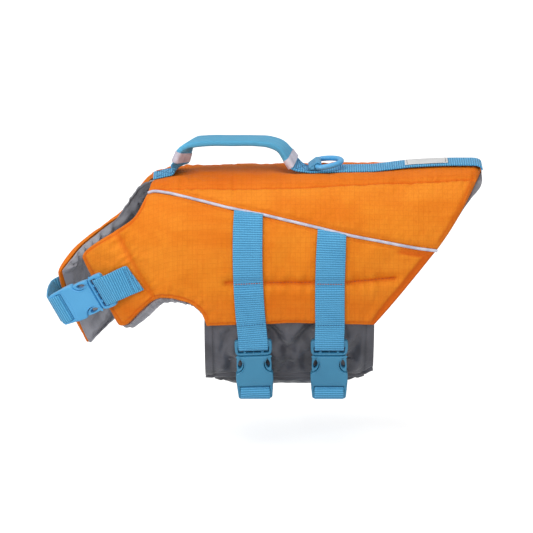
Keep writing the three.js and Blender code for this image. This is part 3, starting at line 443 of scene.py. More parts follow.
def quilting(side, x, girth):
    """How deep the stitching presses the padding. Girth counts from the spine."""
    deepest = np.zeros(np.shape(x))
    for path in (BACK_QUILT_PATH, LOWER_QUILT[side], CREASE[side]):
        away = along_path(path, x, girth)[0]
        deepest = np.maximum(deepest, QUILT_DEPTH * np.exp(-((away / QUILT_WIDTH) ** 2)))
    valley = VALLEY_DEPTH * smooth((110 - x) / 50) * smooth((x + 130) / 20)
    return deepest + valley * np.exp(-((girth / VALLEY_WIDTH) ** 4))


def panel_offset(side, x, girth, edge):
    """The plain outer offset of a padded panel, as the solids have it."""
    from_edge = along_path(edge, x, girth)[0]
    return np.maximum(puff(from_edge) - quilting(side, x, girth), EDGE_THICKNESS) - FOAM


CHEST_PATHS = {
    side: list(zip(rows["x"], girth_at(rows["x"], rows["drop"], side)))
    for side, rows in ((NEAR, CHEST_NEAR), (FAR, CHEST_FAR))
}
STRAP_HALF = WEBBING_WIDTH / 2


def strap_line(side, place, girth):
    """x of a side strap's middle at each girth."""
    return through_three(*one_place(panel_lines(side, np.array([place]))), girth)


def under_straps(side, x, girth):
    """1 under the webbing that lies on a side panel, 0 away from it."""
    cover = smooth((STRAP_HALF + 3.5 - along_path(CHEST_PATHS[side], x, girth)[0]) / 3)
    for _, _, place in BELLY_BUCKLES.values():
        away = np.abs(x - strap_line(side, place, girth))
        cover = np.maximum(cover, smooth((STRAP_HALF + 3.5 - away) / 3))
    return cover


def wrinkles(x, girth, spacing, angle, seed, sharp=2.2):
    """Thin creases that run roughly one way, come and go, and fork a little."""
    turned = math.radians(angle)
    along = x * math.cos(turned) + girth * math.sin(turned)
    across = girth * math.cos(turned) - x * math.sin(turned)
    across = across + 3.2 * np.sin(along / 21 + seed) + 1.7 * np.sin(along / 9.5 + 2.3 * seed)
    line = np.abs(np.sin(math.pi * across / spacing))
    return -np.exp(-((line * sharp) ** 2)) * smooth(0.35 + 0.8 * waves(x, girth, 38, seed))


# How far the stitching of an edge lies inside it
SEWN = 3.6


def sewn_edge(from_edge, depth):
    """The groove of stitching that runs just inside an edge."""
    return -depth * np.exp(-(((from_edge - SEWN) / 1.1) ** 2))


# The stretch of the spine between the handle's ends, where no webbing covers the cloth
SPINE_SHOW = (-97.5, 7.0)


def under_spine(x, girth):
    """1 under the webbing on the spine, 0 away from it and between the handle's ends."""
    beside = smooth((STRAP_HALF + 3 - np.abs(girth)) / 3)
    between = smooth((x - SPINE_SHOW[0]) / 5) * smooth((SPINE_SHOW[1] - x) / 5)
    return beside * (1 - between)


def back_relief(x, girth, side):
    """Puckers and soft folds in the cloth of the back panel, and the painted shade on it."""
    from_edge = along_path(BACK_EDGE, x, girth)[0]
    from_quilt = along_path(BACK_QUILT_PATH, x, girth)[0]
    top = path_of(COARSE_BACK["top"])
    relief = puckers(BACK_QUILT_PATH, x, girth, 0.35, 12, 11, 1.3 + side)
    relief += puckers(top, x, girth, 0.5, 9, 8.5, 4.1 + side)
    relief += 0.4 * waves(x, girth, 30, 11 + side) + 0.16 * waves(x, girth, 10, 13 + side)
    relief += 0.45 * wrinkles(x, girth, 19, 62, 3.0 + side) * smooth((x - 60) / 40)
    relief += 0.3 * wrinkles(x, girth, 23, 75, 8.0 + side)
    for k in range(8):
        angle = math.radians(4 + 21 * k)
        start = (-94 + 8 * math.cos(angle), 13 + 3 * math.sin(angle))
        end = (-94 + 38 * math.cos(angle), 13 + 21 * math.sin(angle))
        relief -= fold(x, girth, start, end, 1.1, 2.1)
    for k in range(9):
        start = (92 + 7.5 * k, 24 + 2 * (k % 2))
        end = (80 + 8.5 * k, 50 - 1.2 * k)
        relief -= fold(x, girth, start, end, 0.8 + 0.25 * (k % 3), 2.2)
    relief -= fold(x, girth, (-48.6, 12), (-49, 66), 0.8, 1.3)
    relief -= fold(x, girth, (33, 12), (34, 40), 0.6, 1.6)
    cover = under_spine(x, girth)
    relief *= 0.25 + 0.75 * smooth((np.abs(girth) - 5) / 14)
    relief = relief * smooth(from_edge / 7) * (1 - cover) - 0.3 * cover
    relief -= 0.9 * np.exp(-((from_quilt / 1.6) ** 2)) * smooth(from_edge / 5)
    relief += 0.5 * np.exp(-(((from_quilt - 4.5) / 2.2) ** 2)) * smooth(from_edge / 7)
    filled = smooth((x - SPINE_SHOW[0] - 6) / 18) * smooth((SPINE_SHOW[1] - 6 - x) / 18)
    relief += 2.9 * filled * np.exp(-((girth / VALLEY_WIDTH) ** 4))
    relief += sewn_edge(from_edge, 0.7) * (1 - cover) * smooth((np.abs(girth) - 16) / 4)
    # Painted shade: darker over the band above the upper quilting, where light falls less, and in the
    # quilting line, the edge stitching groove and along the rim.
    inside = np.interp(x, BACK_QUILT_PATH[:, 0], BACK_QUILT_PATH[:, 1]) - girth
    tone = 0.6 * smooth((inside - 1) / 3)
    tone = np.maximum(tone, 0.8 * np.exp(-((from_quilt / 1.5) ** 2)))
    at_ends = 0.3 + 0.7 * smooth((along_path(top, x, girth)[0] - 6) / 6)
    tone = np.maximum(tone, 0.8 * at_ends * np.exp(-(((from_edge - SEWN) / 1.3) ** 2)))
    return relief, np.maximum(tone, 0.5 * at_ends * smooth((5 - from_edge) / 2))


def side_relief(x, girth, side):
    """Puckers and soft folds in the cloth of a side panel, and the painted shade on it."""
    lines = COARSE[side]
    from_edge = along_path(EDGES[side], x, girth)[0]
    from_quilt = along_path(LOWER_QUILT[side], x, girth)[0]
    from_crease = along_path(CREASE[side], x, girth)[0]
    hem = path_of(lines["hem"])
    relief = puckers(LOWER_QUILT[side], x, girth, 1.1, 9, 11.5, 2.2 + side)
    relief += puckers(CREASE[side], x, girth, 0.8, 9, 8.5, 0.7 + side)
    relief += puckers(hem, x, girth, 0.8, 10, 9.5, 5.2 + side)
    relief += puckers(path_of(lines["top"]), x, girth, 0.45, 8, 9, 6.4 + side)
    relief += 0.5 * waves(x, girth, 38, 21 + side) + 0.16 * waves(x, girth, 11, 23 + side)
    relief += 0.4 * wrinkles(x, girth, 27, 68, 5.0 + side) * smooth((x + 60) / 40)
    relief += 0.45 * wrinkles(x, girth, 17, 30, 9.0 + side) * smooth((-112 - x) / 12)
    corner = (-73, float(np.interp(-73, lines["hem"][0], lines["hem"][1])) - 6)
    for k in range(6):
        angle = math.radians(96 + 19 * k)
        end = (corner[0] + 40 * math.cos(angle), corner[1] - 40 * math.sin(angle))
        relief -= fold(x, girth, corner, end, 1.1, 2.8)
    for k in range(5):
        tail_x = 66 - 0.4 * k
        start = (tail_x, corner[1] - 2)
        angle = math.radians(70 + 17 * k)
        end = (tail_x + 30 * math.cos(angle), start[1] - 30 * math.sin(angle))
        relief -= fold(x, girth, start, end, 0.8, 2.6)
    cover = under_straps(side, x, girth)
    relief = relief * smooth(from_edge / 7) * (1 - cover) - 0.3 * cover
    relief += sewn_edge(from_edge, 1.0) * (1 - cover)
    relief -= 1.0 * np.exp(-((from_quilt / 1.5) ** 2)) * (1 - cover) * smooth(from_edge / 6)
    at_tail = smooth((x - strap_line(side, LAST_PLACE - 1.6, girth)) / 8) * smooth((girth - 86) / 16)
    relief -= 1.3 * at_tail * np.exp(-(((from_edge - 5.6) / 1.7) ** 2))
    ridge = np.exp(-(((from_crease - 3.4) / 1.3) ** 2))
    relief += 0.5 * ridge * smooth(from_edge / 7) * (1 - cover)
    # Painted shade: darker in the lower quilting and the crease, in a band along the tail edge, towards the
    # hem below the quilting, in the edge stitching groove and along the rim.
    tone = 0.95 * np.exp(-((from_quilt / 1.7) ** 2)) + 0.6 * np.exp(-((from_crease / 2.0) ** 2))
    tone = np.maximum(tone, at_tail * smooth((9 - from_edge) / 3))
    below = np.interp(x, lines["mid"][0], lines["mid"][1]) - girth
    tone = np.maximum(tone, 0.35 * smooth(-below / 24))
    at_top = np.where(x > -124, along_path(path_of(lines["top"]), x, girth)[0], 20.0)
    free = 0.3 + 0.7 * smooth((at_top - 6) / 6)
    tone = np.maximum(tone, 0.9 * free * np.exp(-(((from_edge - SEWN) / 1.3) ** 2)))
    return relief, np.maximum(tone, 0.5 * free * smooth((5 - from_edge) / 2))


def side_surface(side, x, girth):
    """The dressed outer offset of a side panel, and the painted shade on it."""
    relief, tone = side_relief(x, girth, side)
    return panel_offset(side, x, girth, EDGES[side]) + relief, tone


def back_surface(x, girth, side):
    relief, tone = back_relief(x, girth, side)
    return panel_offset(side, x, girth, BACK_EDGE) + relief, tone


# Meshes
FINISH = {}


def finish(obj, finish_name, body="jacket", replaces=()):
    """Gives a piece its material and body, and hides the nodes it stands for."""
    obj.data.materials.append(FINISH[finish_name])
    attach(obj, body)
    if replaces:
        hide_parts(*([replaces] if isinstance(replaces, str) else replaces))
    return obj


def mesh_object(name, points, faces, uv=None, sharp=50):
    """A smooth-shaded object from points in millimetres, with a UV in metres for each point."""
    mesh = bpy.data.meshes.new(name)
    mesh.from_pydata((np.asarray(points) * MM).tolist(), [], [list(map(int, face)) for face in faces])
    if uv is not None:
        layer = mesh.uv_layers.new(name="cloth")
        loops = np.zeros(len(mesh.loops), int)
        mesh.loops.foreach_get("vertex_index", loops)
        layer.data.foreach_set("uv", (np.asarray(uv) * MM)[loops].ravel())
    mesh.shade_smooth()
    if sharp:
        mesh.set_sharp_from_angle(angle=math.radians(sharp))
    obj = bpy.data.objects.new(name, mesh)
    bpy.context.collection.objects.link(obj)
    return obj


def outward(points, faces):
    """The faces, turned if need be so that they look out."""
    quads = np.array([face[:3] for face in faces])
    far = np.array([[face[0], face[2], face[-1]] for face in faces if len(face) == 4])
    points = np.asarray(points)
    volume = 0.0
    for corners in (quads, far):
        a, b, c = (points[corners[:, k]] for k in range(3))
        volume += np.sum(a * np.cross(b, c))
    return faces if volume > 0 else [face[::-1] for face in faces]


def cloth_solid(name, outer, inner, x, girth, sharp=50, tone=None):
    """A closed piece of cloth between two grids of points. Its last argument, if given, is how far painted
    light goes into the colour at each point: painted shade on the shell, painted highlight on the linings.
    """
    n, m = outer.shape[:2]
    points = np.concatenate([outer.reshape(-1, 3), inner.reshape(-1, 3)])
    uv = np.stack([x, girth], axis=-1).reshape(-1, 2)
    number = np.arange(n * m).reshape(n, m)
    a, b, c, d = number[:-1, :-1], number[1:, :-1], number[1:, 1:], number[:-1, 1:]
    over = np.stack([a, b, c, d], axis=-1).reshape(-1, 4)
    under = over[:, ::-1] + n * m
    rim = np.concatenate([number[:, 0], number[-1, 1:], number[::-1, -1][1:], number[0, ::-1][1:]])
    walls = np.stack([rim[1:], rim[:-1], rim[:-1] + n * m, rim[1:] + n * m], axis=-1)
    faces = np.concatenate([over, under, walls])
    obj = mesh_object(name, points, outward(points, faces.tolist()), np.concatenate([uv, uv]), sharp)
    if tone is not None:
        layer = obj.data.attributes.new("tone", "FLOAT", "POINT")
        layer.data.foreach_set("value", np.tile(tone.ravel(), 2).astype(np.float32))
    return obj


def spread(count, ends=4):
    """Shares from 0 to 1, closer together near both ends."""
    t = np.linspace(0, 1, count)
    return mix(t, t + np.sin(2 * math.pi * t) * -0.5 / math.pi, 0.25 * ends / 4)


def side_grid(side, columns, upper, lower):
    top, mid, hem = as_columns(panel_lines(side, np.linspace(0, LAST_PLACE, columns)))
    start = top[1] + SEAM / 2
    girth = np.concatenate([
        mix(start, mid[1], spread(upper)), mix(mid[1], hem[1], spread(lower))[:, 1:]], axis=1)
    return through_three(top, mid, hem, girth), girth


def make_side_panel(side):
    x, girth = side_grid(side, 190, 62, 26)
    offset, tone = side_surface(side, x, girth)
    outer = on_body(x, side * girth, offset)
    inner = on_body(x, side * girth, -FOAM)
    name = f"side_panel_{SIDES[side]}"
    obj = cloth_solid("cloth_" + name, outer, inner, x, girth, tone=tone)
    finish(obj, "shell", replaces=name)
    return obj


def make_back_panel():
    spine, quilt, top = as_columns(back_lines(np.linspace(FLAP_ROWS, LAST_PLACE, 170)), BACK_LINES)
    half = np.concatenate([
        mix(0 * quilt[1], quilt[1], spread(20)),
        mix(quilt[1], top[1] - SEAM / 2, spread(34))[:, 1:]], axis=1)
    x_half = through_three(spine, quilt, top, half)
    x = np.concatenate([x_half[:, :0:-1], x_half], axis=1)
    girth = np.concatenate([-half[:, :0:-1], half], axis=1)
    reach = np.abs(girth)
    (near, tone), (far, _) = back_surface(x, reach, NEAR), back_surface(x, reach, FAR)
    offset = mix(near, far, smooth((girth + 5) / 10))
    outer, inner = on_body(x, girth, offset), on_body(x, girth, -FOAM)
    obj = cloth_solid("cloth_back_panel", outer, inner, x, girth, tone=tone)
    finish(obj, "shell", replaces="back_panel")
    return obj


# Linings: thin cloth under the foam, gathered where it shows. NECK_ROLL is how far each rolls
# over the neck edge, from the row ROLL_FROM, and TAIL_SHOW how far they show at the tail
TAIL_SHOW = 5.0
NECK_ROLL = {NEAR: 1.8, FAR: 4.4}
ROLL_FROM = {NEAR: 0.3, FAR: 3.3}


def lining_folds(x, girth, side):
    """Folds in the lining, which stand in towards the wearer."""
    lines = COARSE[side]
    neck = path_of(lines["top"], (-210, -118))
    hem = path_of(lines["hem"], (-190, -70))
    folds = 0.9 + 0.7 * waves(x, girth, 22, 31 + side)
    folds += np.abs(puckers(neck, x, girth, 4.2, 20, 17, 3.0 + side))
    folds += np.abs(puckers(hem, x, girth, 2.0, 14, 11, 1.0 + side))
    folds -= 1.5 * wrinkles(x, girth, 15, 118, 4.0 + side, 1.6)
    return np.maximum(folds, 0.1) * smooth(along_path(EDGES[side], x, girth)[0] / 6)


def make_lining(side):
    """The lining of one side panel. It rolls over the neck edge and shows below the foreleg."""
    first = 0.14 if side == FAR else 0.06
    places = np.linspace(first, LAST_PLACE, 210)
    lines = panel_lines(side, places)
    top, mid, hem = as_columns(lines)
    on_flap = smooth((FLAP_ROWS + 0.1 - places) / 0.5)[:, None]
    rolled = on_flap * smooth((places[:, None] - ROLL_FROM[side]) / 0.9)
    roll = NECK_ROLL[side] * rolled * (1 + 0.18 * np.sin(places[:, None] * 9.0) * rolled)
    start = top[1] + SEAM / 2 + 1.4 * on_flap - roll
    skirt = lines["skirt"][:, None]
    more = 2.4 * (side == NEAR) * smooth((3.2 - places[:, None]) / 1.5)
    low = hem[1] + np.where(skirt > 0.2, skirt * 1.05 + more, -1)
    girth = np.concatenate([mix(start, mid[1], spread(54)), mix(mid[1], low, spread(40))[:, 1:]], axis=1)
    x = through_three(top, mid, hem, girth)
    folds = lining_folds(x, girth, side)
    past_hem = smooth((girth - hem[1] + 2) / 4) * smooth(skirt / 3)
    share = np.clip((girth - hem[1] + 1) / np.maximum(skirt, 1), 0, 1)
    wave = 0.9 * waves(places[:, None] * 22, 0 * girth, 9, 5 + side)
    gather = 0.8 * np.sin(places[:, None] * 34 + 2 * np.sin(places[:, None] * 7))
    lift = past_hem * (2.6 * np.sin(math.pi * share) + wave + gather * np.sin(math.pi * share))
    past_neck = smooth((top[1] + 1.5 - girth) / 3.5) * rolled
    lift += past_neck * (3.6 + 0.5 * np.sin(places[:, None] * 21))
    thick = LINING + 0.9 * past_hem * np.sin(math.pi * share) + 0.9 * past_neck
    outer = on_body(x, side * girth, LINING - WALL - folds + lift)
    inner = on_body(x, side * girth, LINING - WALL - thick - folds + lift)
    # Painted highlight: the lining lighter towards the front of the flap, where light falls on it, and where
    # it shows past the hem.
    tone = np.clip(0.05 + 0.95 * smooth((-138 - x) / 46) + 0 * girth, 0, 1)
    tone = np.maximum(tone, past_hem)
    name = f"lining_{SIDES[side]}"
    obj = cloth_solid("cloth_" + name, outer, inner, x, girth, tone=tone)
    finish(obj, "lining", replaces=name)


def make_back_lining():
    """The part of the linings over the back, from piping to piping, with the seam at the spine."""
    for side in SIDES:
        spine, quilt, top = as_columns(back_lines(np.linspace(FLAP_ROWS, LAST_PLACE, 150)), BACK_LINES)
        girth = mix(0 * top[1] + SEAM / 2, top[1] - SEAM / 2, spread(40))
        x = through_three(spine, quilt, top, girth)
        show = 0.2 + TAIL_SHOW * np.exp(-(((girth[-1:] - 30) / 18) ** 2))
        x = np.concatenate([x, x[-1:] + show * 0.5, x[-1:] + show])
        girth = np.concatenate([girth, girth[-1:], girth[-1:]])
        folds = 0.4 + 0.4 * waves(x, girth, 16, 41 + side)
        folds[-3:] *= 0.2
        wave = np.zeros_like(x)
        wave[-2:] = 0.6 * np.sin(girth[-2:] / 3.1) + 0.4 * np.sin(girth[-2:] / 1.7)
        outer = on_body(x, side * girth, LINING - WALL - folds + wave)
        inner = on_body(x, side * girth, -WALL - folds + wave)
        node = f"lining_{SIDES[side]}"
        # An even share of the lining's painted highlight colour over the whole piece.
        obj = cloth_solid(f"cloth_lining_back_{SIDES[side]}", outer, inner, x, girth, tone=0 * x + 0.2)
        finish(obj, "lining", replaces=node)


# Tubes, and the piping, which starts a share of a row behind the neck edge
PIPING_START = {NEAR: 0.22, FAR: 0.7}


def sweep(name, centres, side_ways, radius, sides=14, closed=False, flat=1.0):
    """A round tube along centres. side_ways gives a direction square to the path at each."""
    centres = np.asarray(centres, float)
    ahead = np.gradient(centres, axis=0)
    if closed:
        ahead = np.roll(centres, -1, axis=0) - np.roll(centres, 1, axis=0)
    ahead = unit(ahead)
    out = np.asarray(side_ways, float)
    out = unit(out - ahead * np.sum(out * ahead, axis=1, keepdims=True))
    across = np.cross(ahead, out)
    angles = np.linspace(0, 2 * math.pi, sides, endpoint=False)
    rings = centres[:, None] + radius * (
        flat * np.cos(angles)[:, None] * out[:, None] + np.sin(angles)[:, None] * across[:, None])
    length = run_along(centres)
    uv = np.stack(np.broadcast_arrays(angles * np.max(radius), length[:, None]), axis=-1)
    return ring_mesh(name, rings, uv, closed)


def ring_mesh(name, rings, uv, closed=False, sharp=50):
    n, m = rings.shape[:2]
    number = np.arange(n * m).reshape(n, m)
    following = np.roll(number, -1, axis=0) if closed else number[1:]
    first = number if closed else number[:-1]
    a, b = first, np.roll(first, -1, axis=1)
    c, d = np.roll(following, -1, axis=1), following
    faces = np.stack([a, b, c, d], axis=-1).reshape(-1, 4).tolist()
    if not closed:
        faces += [number[0, ::-1].tolist(), number[-1].tolist()]
    points = rings.reshape(-1, 3)
    return mesh_object(name, points, outward(points, faces), uv.reshape(-1, 2), sharp)


def make_piping(side):
    places = np.linspace(FLAP_ROWS + PIPING_START[side], LAST_PLACE, 170)
    x, girth = panel_lines(side, places)["top"]
    sunk = -1.1 + 0.12 * np.sin(x / 4.3) + 0.1 * np.sin(x / 2.1)
    name = f"piping_{SIDES[side]}"
    obj = sweep("cord_" + name, on_body(x, side * girth, sunk), normal_at(x, side * girth), PIPING_RADIUS)
    return finish(obj, "piping", replaces=name)


# Belly flaps
BINDING = 8.0
FLAP_END = 72.0
FLAP_FRONT, FLAP_TAIL = -74.6, 72.8
FOLDS = table("x0 drop0 x1 drop1 depth width", [
    [-22, 137, -3, 164, 4.6, 5.2],
    [21, 138, 0, 162, 4.6, 5.4],
    [-3, 165, -5, 186, 2.6, 5.0],
    [10, 150, 14, 180, 1.6, 5.0],
    [-68, 176, -52, 146, 2.6, 4.6],
    [-60, 150, -50, 184, 1.8, 4.6],
    [66, 146, 54, 172, 2.6, 5.0],
])


def section_half(x):
    """Half the girth of the torso at each x, on the near side."""
    curve = section_curves(NEAR)[2][:, -1]
    return np.interp(x, X_AXIS, curve)


def make_belly_flap(side):
    tuck = BELLY_CLOTH + 1.4
    inset = 0 if side == NEAR else 7
    columns = np.linspace(FLAP_FRONT, FLAP_TAIL, 130)[:, None]
    start = girth_at(columns[:, 0], table_at(HEM, "drop", columns[:, 0]), side)[:, None] - 2
    half = section_half(columns)
    edge = 187.6 + 0.6 * smooth((-50 - columns[:, 0]) / 20) - 6 * smooth((columns[:, 0] - 56) / 17) ** 2
    near_end = girth_at(columns[:, 0], edge, NEAR)[:, None]
    if side == NEAR:
        end = near_end
    else:
        end = 2 * half - girth_at(columns[:, 0], 170, NEAR)[:, None]
    share = np.linspace(0, 1, 60 if side == NEAR else 110)
    girth = mix(start, end, share)
    x = columns - inset * smooth((girth - start) / 60) * columns / FLAP_END
    sink = 0 if side == NEAR else tuck * smooth((girth - (2 * half - near_end) + 9) / 8)
    mirrored = np.minimum(girth, 2 * half - girth)
    trough, ridge = np.zeros_like(girth), np.zeros_like(girth)
    for x0, drop0, x1, drop1, depth, width in zip(*FOLDS.values()):
        path = [(x0, float(girth_at(x0, drop0, NEAR))), (x1, float(girth_at(x1, drop1, NEAR)))]
        away = along_path(path, x, mirrored)[0] / width
        trough = np.maximum(trough, depth * 1.15 * np.exp(-(away**2)))
        ridge = np.maximum(ridge, depth * 0.6 * np.exp(-((away - 1.9) ** 2)))
    from_end = np.minimum(columns - FLAP_FRONT, FLAP_TAIL - columns) + 0 * girth
    bound = 0.8 * smooth((from_end - BINDING) / 0.7) + 1.1 * np.exp(-(((from_end - BINDING) / 1.0) ** 2))
    free = smooth((girth - start) / 14) * smooth((from_end - BINDING) / 8) * smooth((end - girth - 4) / 9)
    relief = (1.6 if side == NEAR else 0.8) * waves(x, girth, 34, 51 + side)
    relief += 0.3 * waves(x, girth, 12, 52 + side)
    relief += 0.9 * wrinkles(x, girth, 26, 84, 6.0 + side, 1.7) + 0.6 * wrinkles(x, girth, 21, 25, 2.0 + side)
    relief += 0.25 * np.sin(girth / 4.1) * (1 - smooth((from_end - BINDING) / 4))
    lip = 1.6 * np.exp(-(((end - girth - 5.5) / 1.5) ** 2)) - 0.7 * smooth((girth - end + 4) / 2)
    offset = -BELLY_SINK - sink - bound - lip + (relief + ridge - trough) * free
    offset = np.minimum(offset, -BELLY_SINK - sink + 0.6 + 2.4 * smooth((girth - start - 6) / 12))
    under_hem = 1.2 * smooth((start + 3 - girth) / 3)
    outer = on_body(x, side * girth, offset - under_hem)
    inner = on_body(x, side * girth, offset - under_hem - BELLY_CLOTH)
    name = f"belly_flap_{SIDES[side]}"
    obj = cloth_solid("cloth_" + name, outer, inner, x, girth)
    finish(obj, "belly", replaces=name)
    if side == NEAR:
        for k, seam in enumerate((BINDING - 0.6, FLAP_TAIL - FLAP_FRONT - BINDING + 0.6)):
            column = int(np.argmin(np.abs(columns[:, 0] - FLAP_FRONT - seam)))
            points = outer[column, 4:-1]
            stitches(f"thread_binding_{k}", points, normal_at(x[column, 4:-1], side * girth[column, 4:-1]),
                     "grey_thread", 2.6, 1.9, 0.2)


# Bands of webbing
def resample(points, values, step):
    """Points on a smooth curve through stations, and the values carried along."""
    points, values = np.asarray(points, float), np.asarray(values, float)
    stations = np.concatenate([points, values], axis=1)
    slopes = np.zeros_like(stations)
    gaps = np.linalg.norm(np.diff(points, axis=0), axis=1)
    rates = np.diff(stations, axis=0) / gaps[:, None]
    before, after = gaps[:-1, None], gaps[1:, None]
    slopes[1:-1] = (rates[:-1] * after + rates[1:] * before) / (after + before)
    slopes[0], slopes[-1] = rates[0], rates[-1]
    out = []
    for k, gap in enumerate(gaps):
        count = max(1, int(math.ceil(gap / step)))
        t = (np.arange(count) / count)[:, None]
        out.append(hermite(t, stations[k], stations[k + 1], gap * slopes[k], gap * slopes[k + 1]))
    out.append(stations[-1:])
    out = np.concatenate(out)
    return out[:, :3], out[:, 3:]


def run_along(points):
    """The length along a path up to each of its points."""
    return np.concatenate([[0], np.cumsum(np.linalg.norm(np.diff(points, axis=0), axis=1))])


def band_profile(width, thickness, edge, across=9):
    """A flat band's cross-section with rounded edges, as points across and out."""
    angles = np.linspace(-math.pi / 2, math.pi / 2, 7)
    right = [(width / 2 - edge + edge * math.cos(a), thickness / 2 * math.sin(a)) for a in angles]
    shares = np.linspace(1, -1, across + 2)[1:-1]
    flat = [(share * (width / 2 - edge), thickness / 2) for share in shares]
    left = [(-u, -w) for u, w in right]
    return np.array(right + flat + left + [(-u, -w) for u, w in flat])


def band(name, centres, across, width, thickness, edge=0.8, bulge=0.0, grooves=()):
    """A band along centres. across is the direction of its width, square to its path or not."""
    ahead = unit(np.gradient(centres, axis=0))
    across = unit(across)
    out = unit(np.cross(ahead, across))
    profile = band_profile(width, thickness, edge)
    crown = 1 + bulge * (1 - (2 * profile[:, 0] / width) ** 2)
    for place in grooves:
        crown = crown - 0.3 * np.exp(-(((np.abs(profile[:, 0]) - place) / 0.9) ** 2))
    rings = (centres[:, None] + profile[:, 0][:, None] * across[:, None]
             + (profile[:, 1] * crown)[:, None] * out[:, None])
    length = run_along(centres)
    slant = np.sum(across * ahead, axis=1)
    along = length[:, None] + profile[:, 0] * slant[:, None]
    uv = np.stack(np.broadcast_arrays(profile[:, 0], along), axis=-1)
    return ring_mesh(name, rings, uv, sharp=60)


def lying(x, girth, side, offset):
    """Centres and across directions of a band that lies on the cloth along x and girth."""
    x, girth = np.asarray(x, float), np.asarray(girth, float)
    line = np.stack([x, girth], axis=1)
    ahead = unit(np.gradient(line, axis=0))
    sideways = np.stack([-ahead[:, 1], ahead[:, 0]], axis=1) * WEBBING_WIDTH / 2
    left = on_body(x - sideways[:, 0], side * (girth - sideways[:, 1]), offset)
    right = on_body(x + sideways[:, 0], side * (girth + sideways[:, 1]), offset)
    return on_body(x, side * girth, offset), unit(right - left)


def normal_across(centres, across):
    """The direction square to a band at each of its stations."""
    return unit(np.cross(unit(np.gradient(centres, axis=0)), across))


# Buckle frames: where each starts, along from plug to socket, across it, and out of its back
def buckle_frame(start, along, across):
    along = unit(np.array(along, float))
    out = unit(np.cross(along, np.array(across, float)))
    return {"start": np.array(start, float), "along": along, "out": out, "across": unit(np.cross(out, along))}


def in_frame(where, length, rise):
    return where["start"] + length * where["along"] + rise * where["out"]


BELLY_TILT = math.radians(12)
BUCKLES = {
    name: buckle_frame((x, -61, -139 + WALL), (lean, math.sin(BELLY_TILT), -math.cos(BELLY_TILT)), (-1, 0, 0))
    for name, (x, lean, _) in BELLY_BUCKLES.items()
}
BUCKLES["chest"] = buckle_frame((-156, -52.2, -95.5 + WALL), (-0.81, 0.377, -0.454), (-0.485, 0.01, 0.874))

LOOP = FRAME_THICKNESS / 2 + SEAM + WEBBING_THICKNESS / 2
PLUG_BAR = 6.2
SOCKET_BAR = (49.0, 53.5)
CORNER = LOOP * math.sqrt(0.5)
PLUG_LOOP = [
    (2, -LOOP), (PLUG_BAR, -LOOP), (PLUG_BAR + CORNER, -CORNER), (PLUG_BAR + LOOP, 0),
    (PLUG_BAR + CORNER, CORNER), (PLUG_BAR, LOOP), (4.5, LOOP),
]
SOCKET_LOOP = [
    (SOCKET_BAR[1] + LOOP, 0), (SOCKET_BAR[1] + CORNER, -CORNER), (SOCKET_BAR[1], -LOOP),
    (SOCKET_BAR[0], -LOOP), (SOCKET_BAR[0] - CORNER, -CORNER), (SOCKET_BAR[0] - LOOP, 0),
    (SOCKET_BAR[0] - CORNER, CORNER), (SOCKET_BAR[0], LOOP), (SOCKET_BAR[0] + 3, LOOP),
]
STRAP_FLOOR = -2.0
SPINE_FLOOR = -3.5


def loop_points(name, loop):
    return np.array([in_frame(BUCKLES[name], length, rise) for length, rise in loop])


def aligned(across, reference):
    """The directions, turned so that each points the same way as the one before it."""
    across = np.array(across, float)
    for k in range(len(across)):
        if np.dot(across[k], reference) < 0:
            across[k] *= -1
        reference = across[k]
    return across


def strap_on_panel(side, place):
    """Centres and across directions down a side panel, under the piping to the hem."""
    top, mid, hem = one_place(panel_lines(side, np.array([place])))
    girth = np.arange(top[1] + 0.3, hem[1] - 1, 3.0)
    x = through_three(top, mid, hem, girth)
    offset = np.maximum(panel_offset(side, x, girth, EDGES[side]), STRAP_FLOOR)
    offset = np.maximum(offset, -2.3) + SEAM + WEBBING_THICKNESS / 2
    centres, across = lying(x, girth, side, offset)
    across = aligned(across, np.array([1.0, 0, 0]))
    beside = panel_lines(side, np.array([place - 0.3, place + 0.3]))["top"]
    slope = (beside[1][1] - beside[1][0]) / (beside[0][1] - beside[0][0])
    slant = slope * (1 - smooth((girth - girth[0]) / 26))
    return centres, across + slant[:, None] * unit(np.gradient(centres, axis=0)), (x, girth)


STRAP_STEP = 1.2


def strap_band(node, centres, across):
    """The webbing that stands for a node, through parts of stations laid end to end."""
    centres, across = resample(np.concatenate(centres), np.concatenate(across), STRAP_STEP)
    obj = band("webbing_" + node, centres, across, WEBBING_WIDTH, WEBBING_THICKNESS)
    finish(obj, "webbing", replaces=node)
    return obj, centres, across


def make_side_strap(name):
    place = BELLY_BUCKLES[name][2]
    centres, across, _ = strap_on_panel(NEAR, place)
    free = loop_points(name, PLUG_LOOP)
    free_across = np.tile(aligned([BUCKLES[name]["across"]], across[-1])[0], (len(free), 1))
    return strap_band(f"side_strap_{name}", [centres, free], [across, free_across])


# The girth straps' way from the far hem to the sockets, as y and level
UNDER_BELLY = [
    (66.5, -137), (64.5, -150), (58, -170), (46, -188), (25, -199), (0, -202), (-24, -200.5), (-38, -197.5),
]


def make_girth_strap(name):
    x_buckle, _, place = BELLY_BUCKLES[name]
    centres, across, (x, _) = strap_on_panel(FAR, place)
    under = np.array([
        (mix(x[-1], x_buckle + 2, k / len(UNDER_BELLY)), y, level + WALL)
        for k, (y, level) in enumerate(UNDER_BELLY)])
    free = np.concatenate([under, loop_points(name, SOCKET_LOOP)])
    free_across = np.tile([1.0, 0, 0], (len(free), 1))
    return strap_band(f"girth_strap_{name}", [centres, free], [across, free_across])


# The chest strap's way across the front of the chest
CHEST_FRONT = [
    (-199.8, 21.5, -117.6), (-203.8, 12, -119.5), (-205.2, 0, -121), (-205.2, -12, -122),
    (-204.6, -22, -122.3),
]


